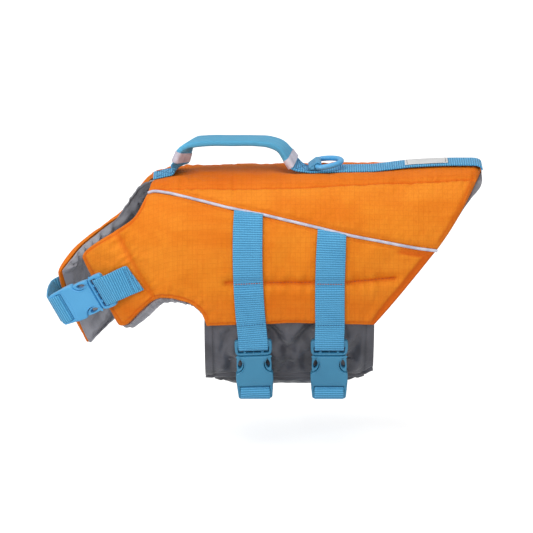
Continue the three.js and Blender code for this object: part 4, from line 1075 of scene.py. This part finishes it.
def make_chest_straps():
    where = BUCKLES["chest"]
    made = []
    for side, rows in ((NEAR, CHEST_NEAR), (FAR, CHEST_FAR)):
        girth = girth_at(rows["x"], rows["drop"], side)
        lift = 0.2 + rows["lift"] + SEAM + WEBBING_THICKNESS / 2
        centres, across = lying(rows["x"], girth, side, lift)
        across = aligned(across, where["across"])
        if side == NEAR:
            facing = normal_at(rows["x"], side * girth)
            flat = unit(where["across"] - facing * (facing @ where["across"])[:, None])
            flat[0] += 0.22 * unit(centres[1] - centres[0])
            centres, across = centres[:2], flat[:2]
            free = loop_points("chest", [(-0.6, -LOOP - 0.2)] + PLUG_LOOP)
        else:
            front = np.array(CHEST_FRONT, float) + (0, 0, WALL)
            free = np.concatenate([front, loop_points("chest", SOCKET_LOOP)])
        free_across = np.tile(where["across"], (len(free), 1))
        made.append(strap_band(f"chest_strap_{SIDES[side]}", [centres, free], [across, free_across]))
    return made


# Spine webbing, handle, ring and label. Each row of the handle has x, a level, and the direction
# across the webbing
HANDLE = np.array([
    [-97.4, -1.4, -0.3, -0.95, 0], [-95.8, 0.9, -0.58, -0.8, 0.06], [-94.8, 4, -0.5, -0.85, 0.13],
    [-92, 12.2, -0.42, -0.86, 0.2], [-90.2, 15.6, -0.36, -0.9, 0.14], [-87.2, 18.8, -0.25, -0.95, 0.08],
    [-81.5, 21.2, -0.1, -1, 0], [-73, 22.2, 0, -1, 0], [-50, 22.4, 0, -1, 0], [-30, 22.3, 0, -1, 0],
    [-18, 21.2, -0.05, -1, -0.04], [-8.5, 17.4, -0.12, -0.98, -0.08], [-2, 9.6, -0.2, -0.96, -0.16],
    [2.6, 3, -0.2, -0.96, -0.2], [6.4, 0.4, -0.1, -0.98, -0.16], [11, -1.6, 0, -0.99, -0.05],
    [16, -3, 0, -1, 0],
])
FRONT_WRAP, GRIP_START, GRIP_END, REAR_WRAP = 2, 3, 12, 13


def handle_part(first, last):
    rows = HANDLE[first:last + 1]
    centres = np.stack([rows[:, 0], 0 * rows[:, 0], rows[:, 1] + WALL], axis=1)
    return centres, unit(rows[:, 2:])


def on_spine(x):
    """Centres and across directions of webbing on the spine."""
    x = np.asarray(x, float)
    offset = np.maximum(panel_offset(FAR, x, 0 * x, BACK_EDGE), SPINE_FLOOR) + SEAM + WEBBING_THICKNESS / 2
    return on_body(x, 0, offset), np.tile([0.0, -1, 0], (len(x), 1))


def make_spine_webbing():
    """The webbing before and behind the handle's grip. The rear one turns over the tail edge."""
    lying_front, across_front = on_spine(np.arange(-118.8, -101.5, 3))
    rise, rise_across = handle_part(0, FRONT_WRAP)
    front = strap_band("spine_webbing_front", [lying_front, rise], [across_front, rise_across])
    fall, fall_across = handle_part(REAR_WRAP, len(HANDLE) - 1)
    lying_rear, across_rear = on_spine(np.arange(22.0, 164.5, 4))
    turned = np.array([on_body(164.4, 0, -0.8), on_body(165.3, 0, -3.4)])
    turned_across = np.tile([0.0, -1, 0], (2, 1))
    centres, across = [fall, lying_rear, turned], [fall_across, across_rear, turned_across]
    return front, strap_band("spine_webbing_rear", centres, across)


# How thick the padded grip and its wraps show, and where the grip's seams are, from its middle
GRIP_SHOWN = 5.6
GRIP_SEAMS = (3.6, 9.0)
WRAP_SHOWN = 6.2


def make_handle():
    for name, first, last, width, thickness, finish_name, slot, grooves in (
        ("handle_grip", GRIP_START, GRIP_END, GRIP_WIDTH, GRIP_SHOWN, "grip", "grip", GRIP_SEAMS),
        ("handle_wrap_front", FRONT_WRAP, GRIP_START, WRAP_WIDTH, WRAP_SHOWN, "wrap", "wrap", ()),
        ("handle_wrap_rear", GRIP_END, REAR_WRAP, WRAP_WIDTH, WRAP_SHOWN, "wrap", "wrap", ()),
    ):
        centres, across = resample(*handle_part(first, last), 0.8)
        obj = band("soft_" + name, centres, across, width, thickness, thickness * 0.45, 0.08, grooves)
        finish(obj, finish_name, replaces=name)


RING_CENTRE = np.array([RING_X, 0.0, 10.541])
KEEPER_LOOP = RING_RADIUS + SEAM + KEEPER_THICKNESS / 2


def ring_path():
    """The D's middle line, from its bar round its bow, in its own plane."""
    half = RING_WIDTH / 2 - RING_RADIUS
    depth = RING_DEPTH - 2 * RING_RADIUS
    corner = 4.0
    points = [(0.0, share * (half - corner)) for share in np.linspace(-1, 1, 9)]
    for angle in np.linspace(math.pi, math.pi / 2, 9)[1:]:
        points.append((corner + corner * math.cos(angle), half - corner + corner * math.sin(angle)))
    for angle in np.linspace(math.pi / 2, -math.pi / 2, 49)[1:]:
        points.append((corner + (depth - corner) * math.cos(angle), half * math.sin(angle)))
    for angle in np.linspace(-math.pi / 2, -math.pi, 9)[1:-1]:
        points.append((corner + corner * math.cos(angle), corner - half + corner * math.sin(angle)))
    return np.array(points)


def make_ring():
    path = ring_path()
    flat = np.stack([path[:, 0], path[:, 1], 0 * path[:, 0]], axis=1)
    rise, level = math.sin(RING_RISE), math.cos(RING_RISE)
    turn = np.array([[level, 0, -rise], [0, 1, 0], [rise, 0, level]])
    centres = flat @ turn.T + RING_CENTRE
    up = np.tile(turn @ np.array([0, 0, 1.0]), (len(centres), 1))
    thicker = 1.06 + 0.12 * smooth((path[:, 0] - 2) / 3)
    obj = sweep("plastic_lead_ring", centres, up, RING_RADIUS * thicker[:, None, None], 20, True, 0.9)
    return finish(obj, "plastic", body="lead_ring", replaces="lead_ring")


def make_keeper():
    tail_x, small = -6.5, 0.75
    path = []
    for angle in np.radians(np.linspace(-90, 110, 22)):
        path.append((KEEPER_LOOP * math.cos(angle), KEEPER_LOOP * math.sin(angle)))
    for angle in np.radians(np.linspace(110, 270, 10)):
        path.append((tail_x + small * math.cos(angle), small - KEEPER_LOOP + small * math.sin(angle)))
    path = np.array(path)
    centres = np.stack([path[:, 0], 0 * path[:, 0], path[:, 1]], axis=1) + RING_CENTRE
    ahead = unit(np.roll(centres, -1, axis=0) - np.roll(centres, 1, axis=0))
    across = np.array([0.0, 1, 0])
    out = unit(np.cross(ahead, across))
    profile = band_profile(KEEPER_WIDTH, KEEPER_THICKNESS, 0.5)
    rings = (centres[:, None] + profile[:, 0][:, None] * across + profile[:, 1][:, None] * out[:, None])
    length = run_along(centres)
    uv = np.stack(np.broadcast_arrays(profile[:, 0], length[:, None]), axis=-1)
    obj = ring_mesh("webbing_ring_keeper", rings, uv, closed=True)
    finish(obj, "keeper", replaces="ring_keeper")
    inner = [(-2.7, 1.9), (-2.7, -2.3), (tail_x + 0.4, -2.3), (tail_x + 0.2, -1.7)]
    half = KEEPER_WIDTH / 2 - 0.3
    ends = np.array([[(u, y, v) for u, v in inner] for y in (-half, half)]) + RING_CENTRE
    layers = ring_mesh("webbing_keeper_layers", ends, np.zeros((2, 4, 2)), sharp=30)
    finish(layers, "keeper")


LABEL_FROM, LABEL_TO = 99.0, 136.0
LABEL_WIDTH = 18.0


def make_label():
    x = np.linspace(LABEL_FROM, LABEL_TO, 40)
    offset = -quilting(FAR, x, 0 * x) + 2 * SEAM + WEBBING_THICKNESS + 0.3
    centres = on_body(x, 0, offset)
    across = np.tile([0.0, -1, 0], (len(x), 1))
    obj = band("cloth_spine_label", centres, across, LABEL_WIDTH, 0.6, edge=0.3)
    finish(obj, "label", replaces="spine_label")
    edge = on_body(np.tile(x[[2, -3]], (12, 1)).T, 0, np.tile(offset[[2, -3]], (12, 1)).T + 0.3)
    for k, row in enumerate(edge):
        row[:, 1] = np.linspace(-8.2, 8.2, 12)
        stitches(f"thread_label_{k}", row, normal_at(x[[2, -3]][k] + 0 * row[:, 1], 0 * row[:, 1]),
                 "grey_thread", 2.0, 1.4, 0.2)


# Buckles
def rounded(half_start, half_end, start, end, radius, steps=6):
    """A rounded four-sided outline, in the plane of a buckle: across, then along."""
    corners = np.array([(-half_start, start), (half_start, start), (half_end, end), (-half_end, end)], float)
    points = []
    for k, corner in enumerate(corners):
        before, after = corners[k - 1], corners[(k + 1) % 4]
        a = corner + unit(before - corner) * radius
        b = corner + unit(after - corner) * radius
        for t in np.linspace(0, 1, steps):
            points.append((1 - t) ** 2 * a + 2 * t * (1 - t) * corner + t * t * b)
    return np.array(points)


def plate(name, outlines, thickness, bevel, resolution=3):
    """A plate with rounded rims from closed outlines, of which the later ones are holes."""
    curve = bpy.data.curves.new(name, "CURVE")
    curve.dimensions = "2D"
    curve.fill_mode = "BOTH"
    curve.extrude = (thickness / 2 - bevel) * MM
    curve.bevel_depth = bevel * MM
    curve.bevel_resolution = resolution
    curve.offset = -bevel * MM
    for outline in outlines:
        spline = curve.splines.new("POLY")
        spline.points.add(len(outline) - 1)
        for point, (u, v) in zip(spline.points, outline):
            point.co = (u * MM, v * MM, 0, 1)
        spline.use_cyclic_u = True
    holder = bpy.data.objects.new(name, curve)
    bpy.context.collection.objects.link(holder)
    mesh = bpy.data.meshes.new_from_object(holder.evaluated_get(bpy.context.evaluated_depsgraph_get()))
    bpy.data.objects.remove(holder)
    bpy.data.curves.remove(curve)
    obj = bpy.data.objects.new(name, mesh)
    bpy.context.collection.objects.link(obj)
    return obj


SLOT_HALF = WEBBING_WIDTH / 2 + 0.45


def place_in(obj, where):
    """Moves a mesh drawn in a buckle's plane to its place."""
    basis = np.stack([where["across"], where["along"], where["out"]], axis=1)
    for vertex in obj.data.vertices:
        local = np.array(vertex.co) / MM
        vertex.co = (basis @ local + where["start"]) * MM


def joined(name, objects):
    """One object of several, welded at shared points."""
    bpy.ops.object.select_all(action="DESELECT")
    for obj in objects:
        obj.select_set(True)
    bpy.context.view_layer.objects.active = objects[0]
    bpy.ops.object.join()
    result = bpy.context.view_layer.objects.active
    result.name = name
    result.data.name = name
    result.data.shade_smooth()
    result.data.set_sharp_from_angle(angle=math.radians(40))
    return result


def ellipse(across, along, half_across, half_along, count=28):
    angles = np.linspace(0, 2 * math.pi, count, endpoint=False)
    return np.stack([across + half_across * np.cos(angles), along + half_along * np.sin(angles)], axis=1)


def outline_of(rows):
    """A closed outline from rows of half width and length, mirrored about the middle."""
    rows = np.array(rows, float)
    return np.concatenate([rows, rows[::-1] * (-1, 1)])


def smoothed(outline, radius, steps=4):
    """The outline with its corners rounded."""
    points = []
    for k, corner in enumerate(outline):
        before, after = outline[k - 1], outline[(k + 1) % len(outline)]
        near, far = np.linalg.norm(before - corner), np.linalg.norm(after - corner)
        a = corner + (before - corner) * min(radius, near / 2.2) / near
        b = corner + (after - corner) * min(radius, far / 2.2) / far
        for t in np.linspace(0, 1, steps):
            points.append((1 - t) ** 2 * a + 2 * t * (1 - t) * corner + t * t * b)
    return np.array(points)


# A socket's side recess and the eyelet in each of its arms: the middle across and along, then
# the half sizes across and along
SOCKET_START = PLUG_LENGTH + SEAM
RECESS = (15.9, 22.6, 7.4, 8.2)
EYELET = (11.8, 22.2, 1.85, 4.3)
EYELET_LEAN = 0.14
BODY_END = 43.6


def recess_arc(grow, first, last, steps=18):
    """The edge of a side recess, where the plug's arm shows, as half width and length."""
    across, along, half_across, half_along = RECESS
    angles = np.radians(np.linspace(first, last, steps))
    return np.stack([
        across - (half_across + grow) * np.cos(angles), along + (half_along + grow) * np.sin(angles)], axis=1)


def finish_buckle(half, name, parts):
    """Joins the parts of a plug or socket and puts it in its place."""
    node = f"buckle_{half}_{name}"
    obj = joined("plastic_" + node, parts)
    place_in(obj, BUCKLES[name])
    # The belly buckles take the darker copy of the plastic, painted shade for their place low under the body.
    finish(obj, "plastic" if name == "chest" else "plastic_deep", replaces=node)


def make_socket(name):
    """A socket: a body with a recess at each side, the arms that fill them, and the webbing's bar."""
    arc = recess_arc(0.0, -76, 78)
    body = outline_of([
        (14.0, SOCKET_START), *arc, (15.8, 31.6), (16.1, 34.4), (16.0, 38.5), (15.6, BODY_END)])
    parts = [plate("shell", [smoothed(body, 0.5)], BUCKLE_THICKNESS, 1.2)]
    for side in (-1, 1):
        inner = recess_arc(-0.45, -70, 70)
        arm = np.concatenate([inner, [(14.9, 29.2), (15.1, 25.0), (14.9, 19.0), (14.5, 16.0)]]) * (side, 1)
        hole = ellipse(side * EYELET[0], *EYELET[1:])
        hole[:, 0] += side * EYELET_LEAN * (hole[:, 1] - EYELET[1])
        parts.append(plate("arm", [smoothed(arm, 0.6), hole], BUCKLE_THICKNESS - 1.8, 0.8))
        lip = np.array([(side * u, v) for u, v in recess_arc(0.55, -66, 66, 30)])
        face = np.full(len(lip), 0.1 - BUCKLE_THICKNESS / 2)
        rim = np.stack([lip[:, 0], lip[:, 1], face], axis=1)
        parts.append(sweep("rim", rim, np.tile([0.0, 0, -1], (len(rim), 1)), 0.42, sides=10))
    frame_outline = outline_of([(15.4, BODY_END - 4), (15.6, 45.0), (15.0, 51.0), (14.5, BUCKLE_LENGTH)])
    close = WEBBING_WIDTH / 2 + 0.05
    slot_outline = rounded(close, close, BODY_END + 1.0, SOCKET_BAR[0], 0.2)
    parts.append(plate("bars", [smoothed(frame_outline, 2.2, 7), slot_outline], FRAME_THICKNESS + 1.0, 1.1))
    ledge = np.array([(u, BODY_END - 3.6 + 0.012 * u * u) for u in np.linspace(-14.2, 14.2, 30)])
    path = np.stack([ledge[:, 0], ledge[:, 1], np.full(len(ledge), 0.12 - BUCKLE_THICKNESS / 2)], axis=1)
    parts.append(sweep("ledge", path, np.tile([0.0, 0, -1], (len(path), 1)), 0.34, sides=10))
    finish_buckle("socket", name, parts)


def make_plug(name):
    """A plug: a frame with rounded ears beside the webbing, and stubs in its slot."""
    half = BUCKLE_WIDTH / 2
    outer = outline_of([(half - 0.9, 0), (half + 0.1, 2.6), (half, 10.0), (half - 1.4, PLUG_LENGTH)])
    slot_outline = rounded(SLOT_HALF, SLOT_HALF, PLUG_BAR, PLUG_LENGTH - 2.4, 1.0)
    parts = [plate("frame", [smoothed(outer, 3.0, 7), slot_outline], FRAME_THICKNESS + 0.6, 1.2)]
    for across, width in ((-7.6, 2.4), (0.0, 0.9), (7.6, 2.4)):
        stub = rounded(width / 2, width / 2, PLUG_BAR + LOOP + 1.4, PLUG_LENGTH - 2.0, 0.3) + (across, 0)
        parts.append(plate("stub", [stub], FRAME_THICKNESS - 1.6, 0.3))
    finish_buckle("plug", name, parts)


# Sewing
def part_way(run, vectors, distance):
    """Vectors given along a path, read at distances along it."""
    return np.stack([np.interp(distance, run, vectors[:, k]) for k in range(3)], axis=-1)


def stitches(name, points, outs, finish_name, pitch=3.0, length=2.1, radius=0.3, offset=0.12):
    """A row of separate stitches along a path, as one mesh of small rounded rods."""
    points, outs = np.asarray(points, float), np.asarray(outs, float)
    run = run_along(points)
    starts = np.arange(0.5, run[-1] - length, pitch)
    if not len(starts):
        return None
    shares = np.array([0, 0.12, 0.5, 0.88, 1])
    sizes = np.array([0.25, 0.9, 1, 0.9, 0.25]) * radius
    angles = np.linspace(0, 2 * math.pi, 6, endpoint=False)
    vertices, faces = [], []
    for start in starts:
        distance = start + shares * length
        centre, out = part_way(run, points, distance), unit(part_way(run, outs, distance))
        ahead = unit(centre[-1:] - centre[:1])
        side = np.cross(out, ahead)
        ring = centre[:, None] + out[:, None] * offset + sizes[:, None, None] * (
            np.cos(angles)[:, None] * out[:, None] + np.sin(angles)[:, None] * side[:, None])
        base = len(vertices) * 6 * len(shares)
        vertices.append(ring.reshape(-1, 3))
        number = base + np.arange(6 * len(shares)).reshape(len(shares), 6)
        turned = np.roll(number, -1, axis=1)
        quads = np.stack([number[:-1], number[1:], turned[1:], turned[:-1]], axis=-1).reshape(-1, 4)
        faces += quads.tolist() + [number[0].tolist(), number[-1, ::-1].tolist()]
    obj = mesh_object(name, np.concatenate(vertices), faces, sharp=None)
    return finish(obj, finish_name)


def sew_panel(side):
    """Stitching along the lower quilting, where no strap covers it."""
    x, girth = LOWER_QUILT[side].T
    shown = under_straps(side, x, girth) < 0.5
    breaks = np.flatnonzero(np.diff(shown.astype(int))) + 1
    for k, part in enumerate(np.split(np.arange(len(x)), breaks)):
        if shown[part[0]] and len(part) > 3:
            offset, _ = side_surface(side, x[part], girth[part])
            points = on_body(x[part], side * girth[part], offset)
            stitches(f"thread_quilt_{SIDES[side]}_{k}", points, normal_at(x[part], side * girth[part]),
                     "thread", radius=0.26)


def sew_across(name, centres, across, rows, finishes=("blue_thread", "blue_thread"), inset=1.2):
    """Rows of stitching across a band, each at a station number."""
    out = normal_across(centres, across)
    half = WEBBING_WIDTH / 2 - inset
    shares = np.linspace(-half, half, 14)[:, None]
    for k, row in enumerate(rows):
        way = outer_face(centres[row], out[row])
        points = centres[row] + shares * across[row] + way * WEBBING_THICKNESS / 2 * out[row]
        outs = np.tile(way * out[row], (14, 1))
        stitches(f"thread_{name}_{k}", points, outs, finishes[k], 2.2, 1.6, 0.32)


def outer_face(centre, out):
    """1 or -1, for the face of a band that looks away from the middle of the jacket."""
    middle = np.array([centre[0], 0.0, -80.0])
    return 1 if np.dot(out, centre - middle) > 0 else -1


BOX_INSET = 2.5


def sew_box(name, centres, across, first, last):
    """A sewn box with a cross in it, on the outer face of a band, between two station numbers."""
    out = normal_across(centres, across)
    way = outer_face(centres[first], out[first])
    half = WEBBING_WIDTH / 2 - BOX_INSET
    rows = np.linspace(first, last, 12).round().astype(int)
    face = centres[rows] + way * WEBBING_THICKNESS / 2 * out[rows]
    for label, start, end in (("left", -1, -1), ("right", 1, 1), ("cross_a", -1, 1), ("cross_b", 1, -1)):
        points = face + np.linspace(start * half, end * half, 12)[:, None] * across[rows]
        stitches(f"thread_{name}_{label}", points, way * out[rows], "blue_thread", 2.2, 1.7, 0.26)
    sew_across(name + "_ends", centres, across, (first, last), inset=BOX_INSET)


def row_at_drop(centres, drop):
    """The station of a side strap that shows at a drop, on the side where the strap starts."""
    side = np.sign(centres[0, 1])
    drops = side * centres[:, 1] * math.sin(TILT) - (centres[:, 2] - WALL) * math.cos(TILT)
    here = np.where(side * centres[:, 1] > 40, np.abs(drops - drop), 1e3)
    return int(np.argmin(here))


def station_near(centres, x):
    return int(np.argmin(np.abs(centres[:, 0] - x)))


# Materials
class Finish:
    """A material and short ways to wire its nodes."""

    def __init__(self, name, roughness, sheen=0.0, sheen_roughness=0.4, coat=0.0, specular=0.5):
        self.material = bpy.data.materials.new(name)
        self.material.use_nodes = True
        self.nodes = self.material.node_tree.nodes
        self.links = self.material.node_tree.links
        self.shader = self.nodes["Principled BSDF"]
        self.shader.inputs["Roughness"].default_value = roughness
        self.shader.inputs["Sheen Weight"].default_value = sheen
        self.shader.inputs["Sheen Roughness"].default_value = sheen_roughness
        self.shader.inputs["Coat Weight"].default_value = coat
        self.shader.inputs["Specular IOR Level"].default_value = specular
        FINISH[name] = self.material

    def node(self, kind, **settings):
        made = self.nodes.new(kind)
        for key, value in settings.items():
            setattr(made, key, value)
        return made

    def put(self, socket, value):
        if isinstance(value, bpy.types.NodeSocket):
            self.links.new(value, socket)
        else:
            socket.default_value = value

    def math(self, operation, a, b=0.0, c=0.0):
        made = self.node("ShaderNodeMath", operation=operation)
        for socket, value in zip(made.inputs, (a, b, c)):
            self.put(socket, value)
        return made.outputs[0]

    def uv(self):
        split = self.node("ShaderNodeSeparateXYZ")
        self.links.new(self.node("ShaderNodeUVMap").outputs[0], split.inputs[0])
        return split.outputs[0], split.outputs[1]

    def noise(self, scale, detail=3.0, rough=0.5, source="Object", stretch=(1, 1, 1)):
        mapping = self.node("ShaderNodeMapping")
        mapping.inputs["Scale"].default_value = stretch
        self.links.new(self.node("ShaderNodeTexCoord").outputs[source], mapping.inputs[0])
        made = self.node("ShaderNodeTexNoise")
        self.links.new(mapping.outputs[0], made.inputs["Vector"])
        made.inputs["Scale"].default_value = scale
        made.inputs["Detail"].default_value = detail
        made.inputs["Roughness"].default_value = rough
        return made.outputs[0]

    def blend(self, factor, a, b):
        made = self.node("ShaderNodeMix", data_type="RGBA")
        self.put(made.inputs[0], factor)
        self.put(made.inputs[6], a)
        self.put(made.inputs[7], b)
        return made.outputs[2]

    def ramp(self, value, low, high):
        """0 below low, 1 above high, smooth between."""
        made = self.node("ShaderNodeMapRange", interpolation_type="SMOOTHSTEP")
        self.put(made.inputs["Value"], value)
        made.inputs["From Min"].default_value = low
        made.inputs["From Max"].default_value = high
        return made.outputs[0]

    def lines(self, coordinate, pitch, width):
        """1 on thin lines that repeat at a pitch, 0 between."""
        share = self.math("FRACT", self.math("DIVIDE", coordinate, pitch))
        from_line = self.math("ABSOLUTE", self.math("SUBTRACT", share, 0.5))
        return self.ramp(from_line, 0.5 - width / pitch, 0.5)

    def wave(self, coordinate, pitch):
        return self.math("SINE", self.math("MULTIPLY", coordinate, 2 * math.pi / pitch))

    def bump(self, height, distance, strength=1.0, below=None):
        made = self.node("ShaderNodeBump")
        made.inputs["Distance"].default_value = distance
        made.inputs["Strength"].default_value = strength
        self.put(made.inputs["Height"], height)
        if below is not None:
            self.links.new(below, made.inputs["Normal"])
        return made.outputs[0]

    def colour(self, value):
        self.put(self.shader.inputs["Base Color"], value)

    def surface(self, normal):
        self.links.new(normal, self.shader.inputs["Normal"])


def srgb(code):
    """A linear colour from a six-figure hex code."""
    parts = [int(code[k:k + 2], 16) / 255 for k in (0, 2, 4)]
    return tuple(p / 12.92 if p <= 0.04045 else ((p + 0.055) / 1.055) ** 2.4 for p in parts) + (1.0,)


def ripstop():
    made = Finish("shell", 0.6, sheen=0.0, specular=0.14)
    u, v = made.uv()
    across = made.lines(u, 0.0042, 0.0007)
    along = made.lines(v, 0.0042, 0.0007)
    grid = made.math("MAXIMUM", across, along)
    fine = made.math("MAXIMUM", made.lines(u, 0.0014, 0.0003), made.lines(v, 0.0014, 0.0003))
    patch = made.ramp(made.noise(24, 4, 0.6), 0.32, 0.68)
    streak = made.ramp(made.noise(9, 3, 0.5, stretch=(1, 1, 6)), 0.4, 0.62)
    slub = made.ramp(made.noise(210, 2, 0.5, stretch=(3, 3, 0.25)), 0.42, 0.7)
    base = made.blend(patch, srgb("e27912"), srgb("ec8a1e"))
    tone = made.node("ShaderNodeAttribute", attribute_name="tone").outputs["Fac"]
    # Random streaks and slubs, weave lines, and the painted shade colour d25606, mixed in as far as the
    # per-point painted shade asks.
    for share, most, code in (
        (streak, 0.35, "f3962a"), (slub, 0.22, "d9690f"), (tone, 0.8, "d25606"),
        (fine, 0.14, "c65a08"), (grid, 0.12, "b8540a"),
    ):
        base = made.blend(made.math("MULTIPLY", share, most), base, srgb(code))
    made.colour(base)
    weave = made.math("MULTIPLY", made.wave(u, 0.0005), made.wave(v, 0.0005))
    crinkle = made.bump(made.noise(95, 5, 0.6), 0.0016, 0.6)
    threads = made.bump(grid, 0.0002, 0.4, crinkle)
    made.surface(made.bump(weave, 0.00004, 0.5, threads))


def plain_cloth(name, dark, light, sheen, roughness, crinkle=0.0014, toned=None):
    made = Finish(name, roughness, sheen=sheen, sheen_roughness=0.35, specular=0.5)
    u, v = made.uv()
    patch = made.ramp(made.noise(34, 4), 0.3, 0.7)
    base = made.blend(patch, srgb(dark), srgb(light))
    # An optional painted highlight: a lighter colour mixed in as far as the per-point painted light asks.
    if toned:
        tone = made.node("ShaderNodeAttribute", attribute_name="tone").outputs["Fac"]
        base = made.blend(made.math("MULTIPLY", tone, 0.9), base, srgb(toned))
    made.colour(base)
    weave = made.math("MULTIPLY", made.wave(u, 0.0006), made.wave(v, 0.0006))
    folds = made.bump(made.noise(75, 5, 0.62), crinkle, 0.7)
    made.surface(made.bump(weave, 0.00004, 0.5, folds))


def webbing(name, dark, light, rib, column, roughness):
    """Woven webbing: ribs across it, crossed by fine columns of threads."""
    made = Finish(name, roughness, sheen=0.1, sheen_roughness=0.4, specular=0.35)
    u, v = made.uv()
    drift = made.math("MULTIPLY", made.noise(300, 2), 0.0003)
    ribs = made.wave(made.math("ADD", v, drift), rib)
    columns = made.math("ABSOLUTE", made.wave(u, column))
    # Painted shade in the grooves between ribs and painted highlight on their crests, from the same height as
    # the bump, mixed below with random patches.
    height = made.math("MULTIPLY_ADD", columns, 0.55, ribs)
    tone = made.ramp(height, -0.9, 1.1)
    patch = made.math("MULTIPLY_ADD", made.noise(60, 3), 0.3, made.math("MULTIPLY", tone, 0.85))
    made.colour(made.blend(patch, srgb(dark), srgb(light)))
    made.surface(made.bump(height, 0.00035, 0.9))


def plastic(name, dark, light):
    made = Finish(name, 0.34, specular=0.5)
    patch = made.ramp(made.noise(30, 2), 0.3, 0.7)
    made.colour(made.blend(patch, srgb(dark), srgb(light)))
    made.surface(made.bump(made.noise(900, 2), 0.00012, 0.35))


def reflective(name, dark, light, roughness):
    made = Finish(name, roughness, sheen=0.1, specular=0.6)
    u, v = made.uv()
    patch = made.ramp(made.noise(120, 4), 0.3, 0.7)
    made.colour(made.blend(patch, srgb(dark), srgb(light)))
    beads = made.math("MULTIPLY", made.wave(u, 0.0007), made.wave(v, 0.0007))
    crease = made.bump(made.noise(160, 3), 0.0007, 0.5)
    made.surface(made.bump(beads, 0.00005, 0.5, crease))


def make_materials():
    ripstop()
    # The lining's lighter colour 9c9ca4 is a painted highlight.
    plain_cloth("lining", "5c5c62", "717178", 0.5, 0.42, toned="9c9ca4")
    plain_cloth("belly", "3d3d43", "5c5c64", 0.5, 0.34)
    webbing("webbing", "2a7cb0", "62b8e6", 0.00195, 0.0028, 0.6)
    webbing("keeper", "4ba3d3", "62b8e6", 0.0011, 0.0018, 0.5)
    webbing("grip", "52b6e6", "70cdf7", 0.0008, 0.0016, 0.55)
    # Lit and shaded copies of one blue plastic: the second, darker copy for the belly buckles is painted
    # shade.
    plastic("plastic", "4ea2d6", "56aade")
    plastic("plastic_deep", "3981a6", "408bb0")
    reflective("piping", "aeb2c8", "cfd1e0", 0.42)
    reflective("wrap", "b4aebd", "dcd7e2", 0.5)
    plain_cloth("label", "c9c9c9", "d6d6d6", 0.1, 0.7, 0.0003)
    for name, code in (("thread", "b5520c"), ("blue_thread", "24648f"), ("grey_thread", "2b2b30")):
        Finish(name, 0.6, sheen=0.3).colour(srgb(code))


# The floor, lights and camera
FLOOR_REACH = 6.0
FLOOR_LEVEL = -0.235
LIT_POINT = Vector((-0.02, 0, -0.09))


def make_stage():
    floor = bpy.data.meshes.new("floor")
    signs = ((-1, -1), (1, -1), (1, 1), (-1, 1))
    corners = [(x * FLOOR_REACH, y * FLOOR_REACH, FLOOR_LEVEL) for x, y in signs]
    floor.from_pydata(corners, [], [(0, 1, 2, 3)])
    obj = bpy.data.objects.new("floor", floor)
    bpy.context.collection.objects.link(obj)
    made = Finish("floor", 0.9, specular=0.1)
    made.colour((0.72, 0.72, 0.72, 1))
    made.shader.inputs["Emission Color"].default_value = (1, 1, 1, 1)
    seen = made.node("ShaderNodeLightPath").outputs["Is Camera Ray"]
    made.put(made.shader.inputs["Emission Strength"], made.math("MULTIPLY", seen, 0.62))
    floor.materials.append(made.material)
    world = bpy.data.worlds.new("studio")
    bpy.context.scene.world = world
    world.use_nodes = True
    background = world.node_tree.nodes["Background"]
    background.inputs[0].default_value = (1.0, 1.0, 1.0, 1)
    background.inputs[1].default_value = 0.6
    for name, place, size, power in (
        ("top", (-0.25, -0.35, 1.7), 1.6, 16),
        ("key", (-1.5, -1.5, 0.8), 0.5, 12),
        ("fill", (0.5, -2.2, 0.0), 1.5, 10),
    ):
        light = bpy.data.lights.new(name, "AREA")
        light.size = size
        light.energy = power
        holder = bpy.data.objects.new(name, light)
        holder.location = place
        holder.rotation_euler = (LIT_POINT - Vector(place)).to_track_quat("-Z", "Y").to_euler()
        bpy.context.collection.objects.link(holder)
    bpy.context.scene.view_settings.view_transform = "Standard"


# The photograph's frame: pixels across, the size of one on the object, and the object's
# spine line and x = 0 in it
PHOTO_PIXELS = 533
PIXEL = 0.861
PHOTO_X0 = 290.5
PHOTO_SPINE = 165.3
LENS = 300.0
SENSOR = 36.0


def make_camera():
    data = bpy.data.cameras.new("camera")
    data.lens = LENS
    data.sensor_width = SENSOR
    camera = bpy.data.objects.new("camera", data)
    bpy.context.collection.objects.link(camera)
    x = (PHOTO_PIXELS / 2 - PHOTO_X0) * PIXEL
    drop = (PHOTO_PIXELS / 2 - PHOTO_SPINE) * PIXEL
    near_y = -40.0
    level = -(drop + near_y * math.sin(TILT)) / math.cos(TILT)
    target = Vector((x, near_y, level + WALL)) * MM
    distance = PHOTO_PIXELS * PIXEL * MM * LENS / SENSOR
    back = Vector((0, -math.cos(TILT), math.sin(TILT)))
    camera.location = target + back * distance
    camera.rotation_euler = (-back).to_track_quat("-Z", "Y").to_euler()
    data.clip_end = 60
    bpy.context.scene.camera = camera


make_camera()
make_materials()
make_stage()
make_back_panel()
make_back_lining()
for panel_side in SIDES:
    make_side_panel(panel_side)
    make_lining(panel_side)
    make_piping(panel_side)
    make_belly_flap(panel_side)
    sew_panel(panel_side)
for buckle_name in BELLY_BUCKLES:
    for piece, centres, across in (make_side_strap(buckle_name), make_girth_strap(buckle_name)):
        rows = [row_at_drop(centres, drop) for drop in (102.2, 136.8)]
        sew_across(piece.name.replace("webbing_", ""), centres, across, rows, ("thread", "blue_thread"))
for strap_name, (_, centres, across) in zip(("chest_near", "chest_far"), make_chest_straps()):
    sew_across(strap_name, centres, across, (2, 6))
front_webbing, rear_webbing = make_spine_webbing()
_, centres, across = front_webbing
sew_box("front_box", centres, across, 3, station_near(centres, -101))
_, centres, across = rear_webbing
sew_box("rear_box", centres, across, station_near(centres, 5), station_near(centres, 15))
make_handle()
make_ring()
make_keeper()
make_label()
for buckle_name in BUCKLES:
    make_socket(buckle_name)
    make_plug(buckle_name)
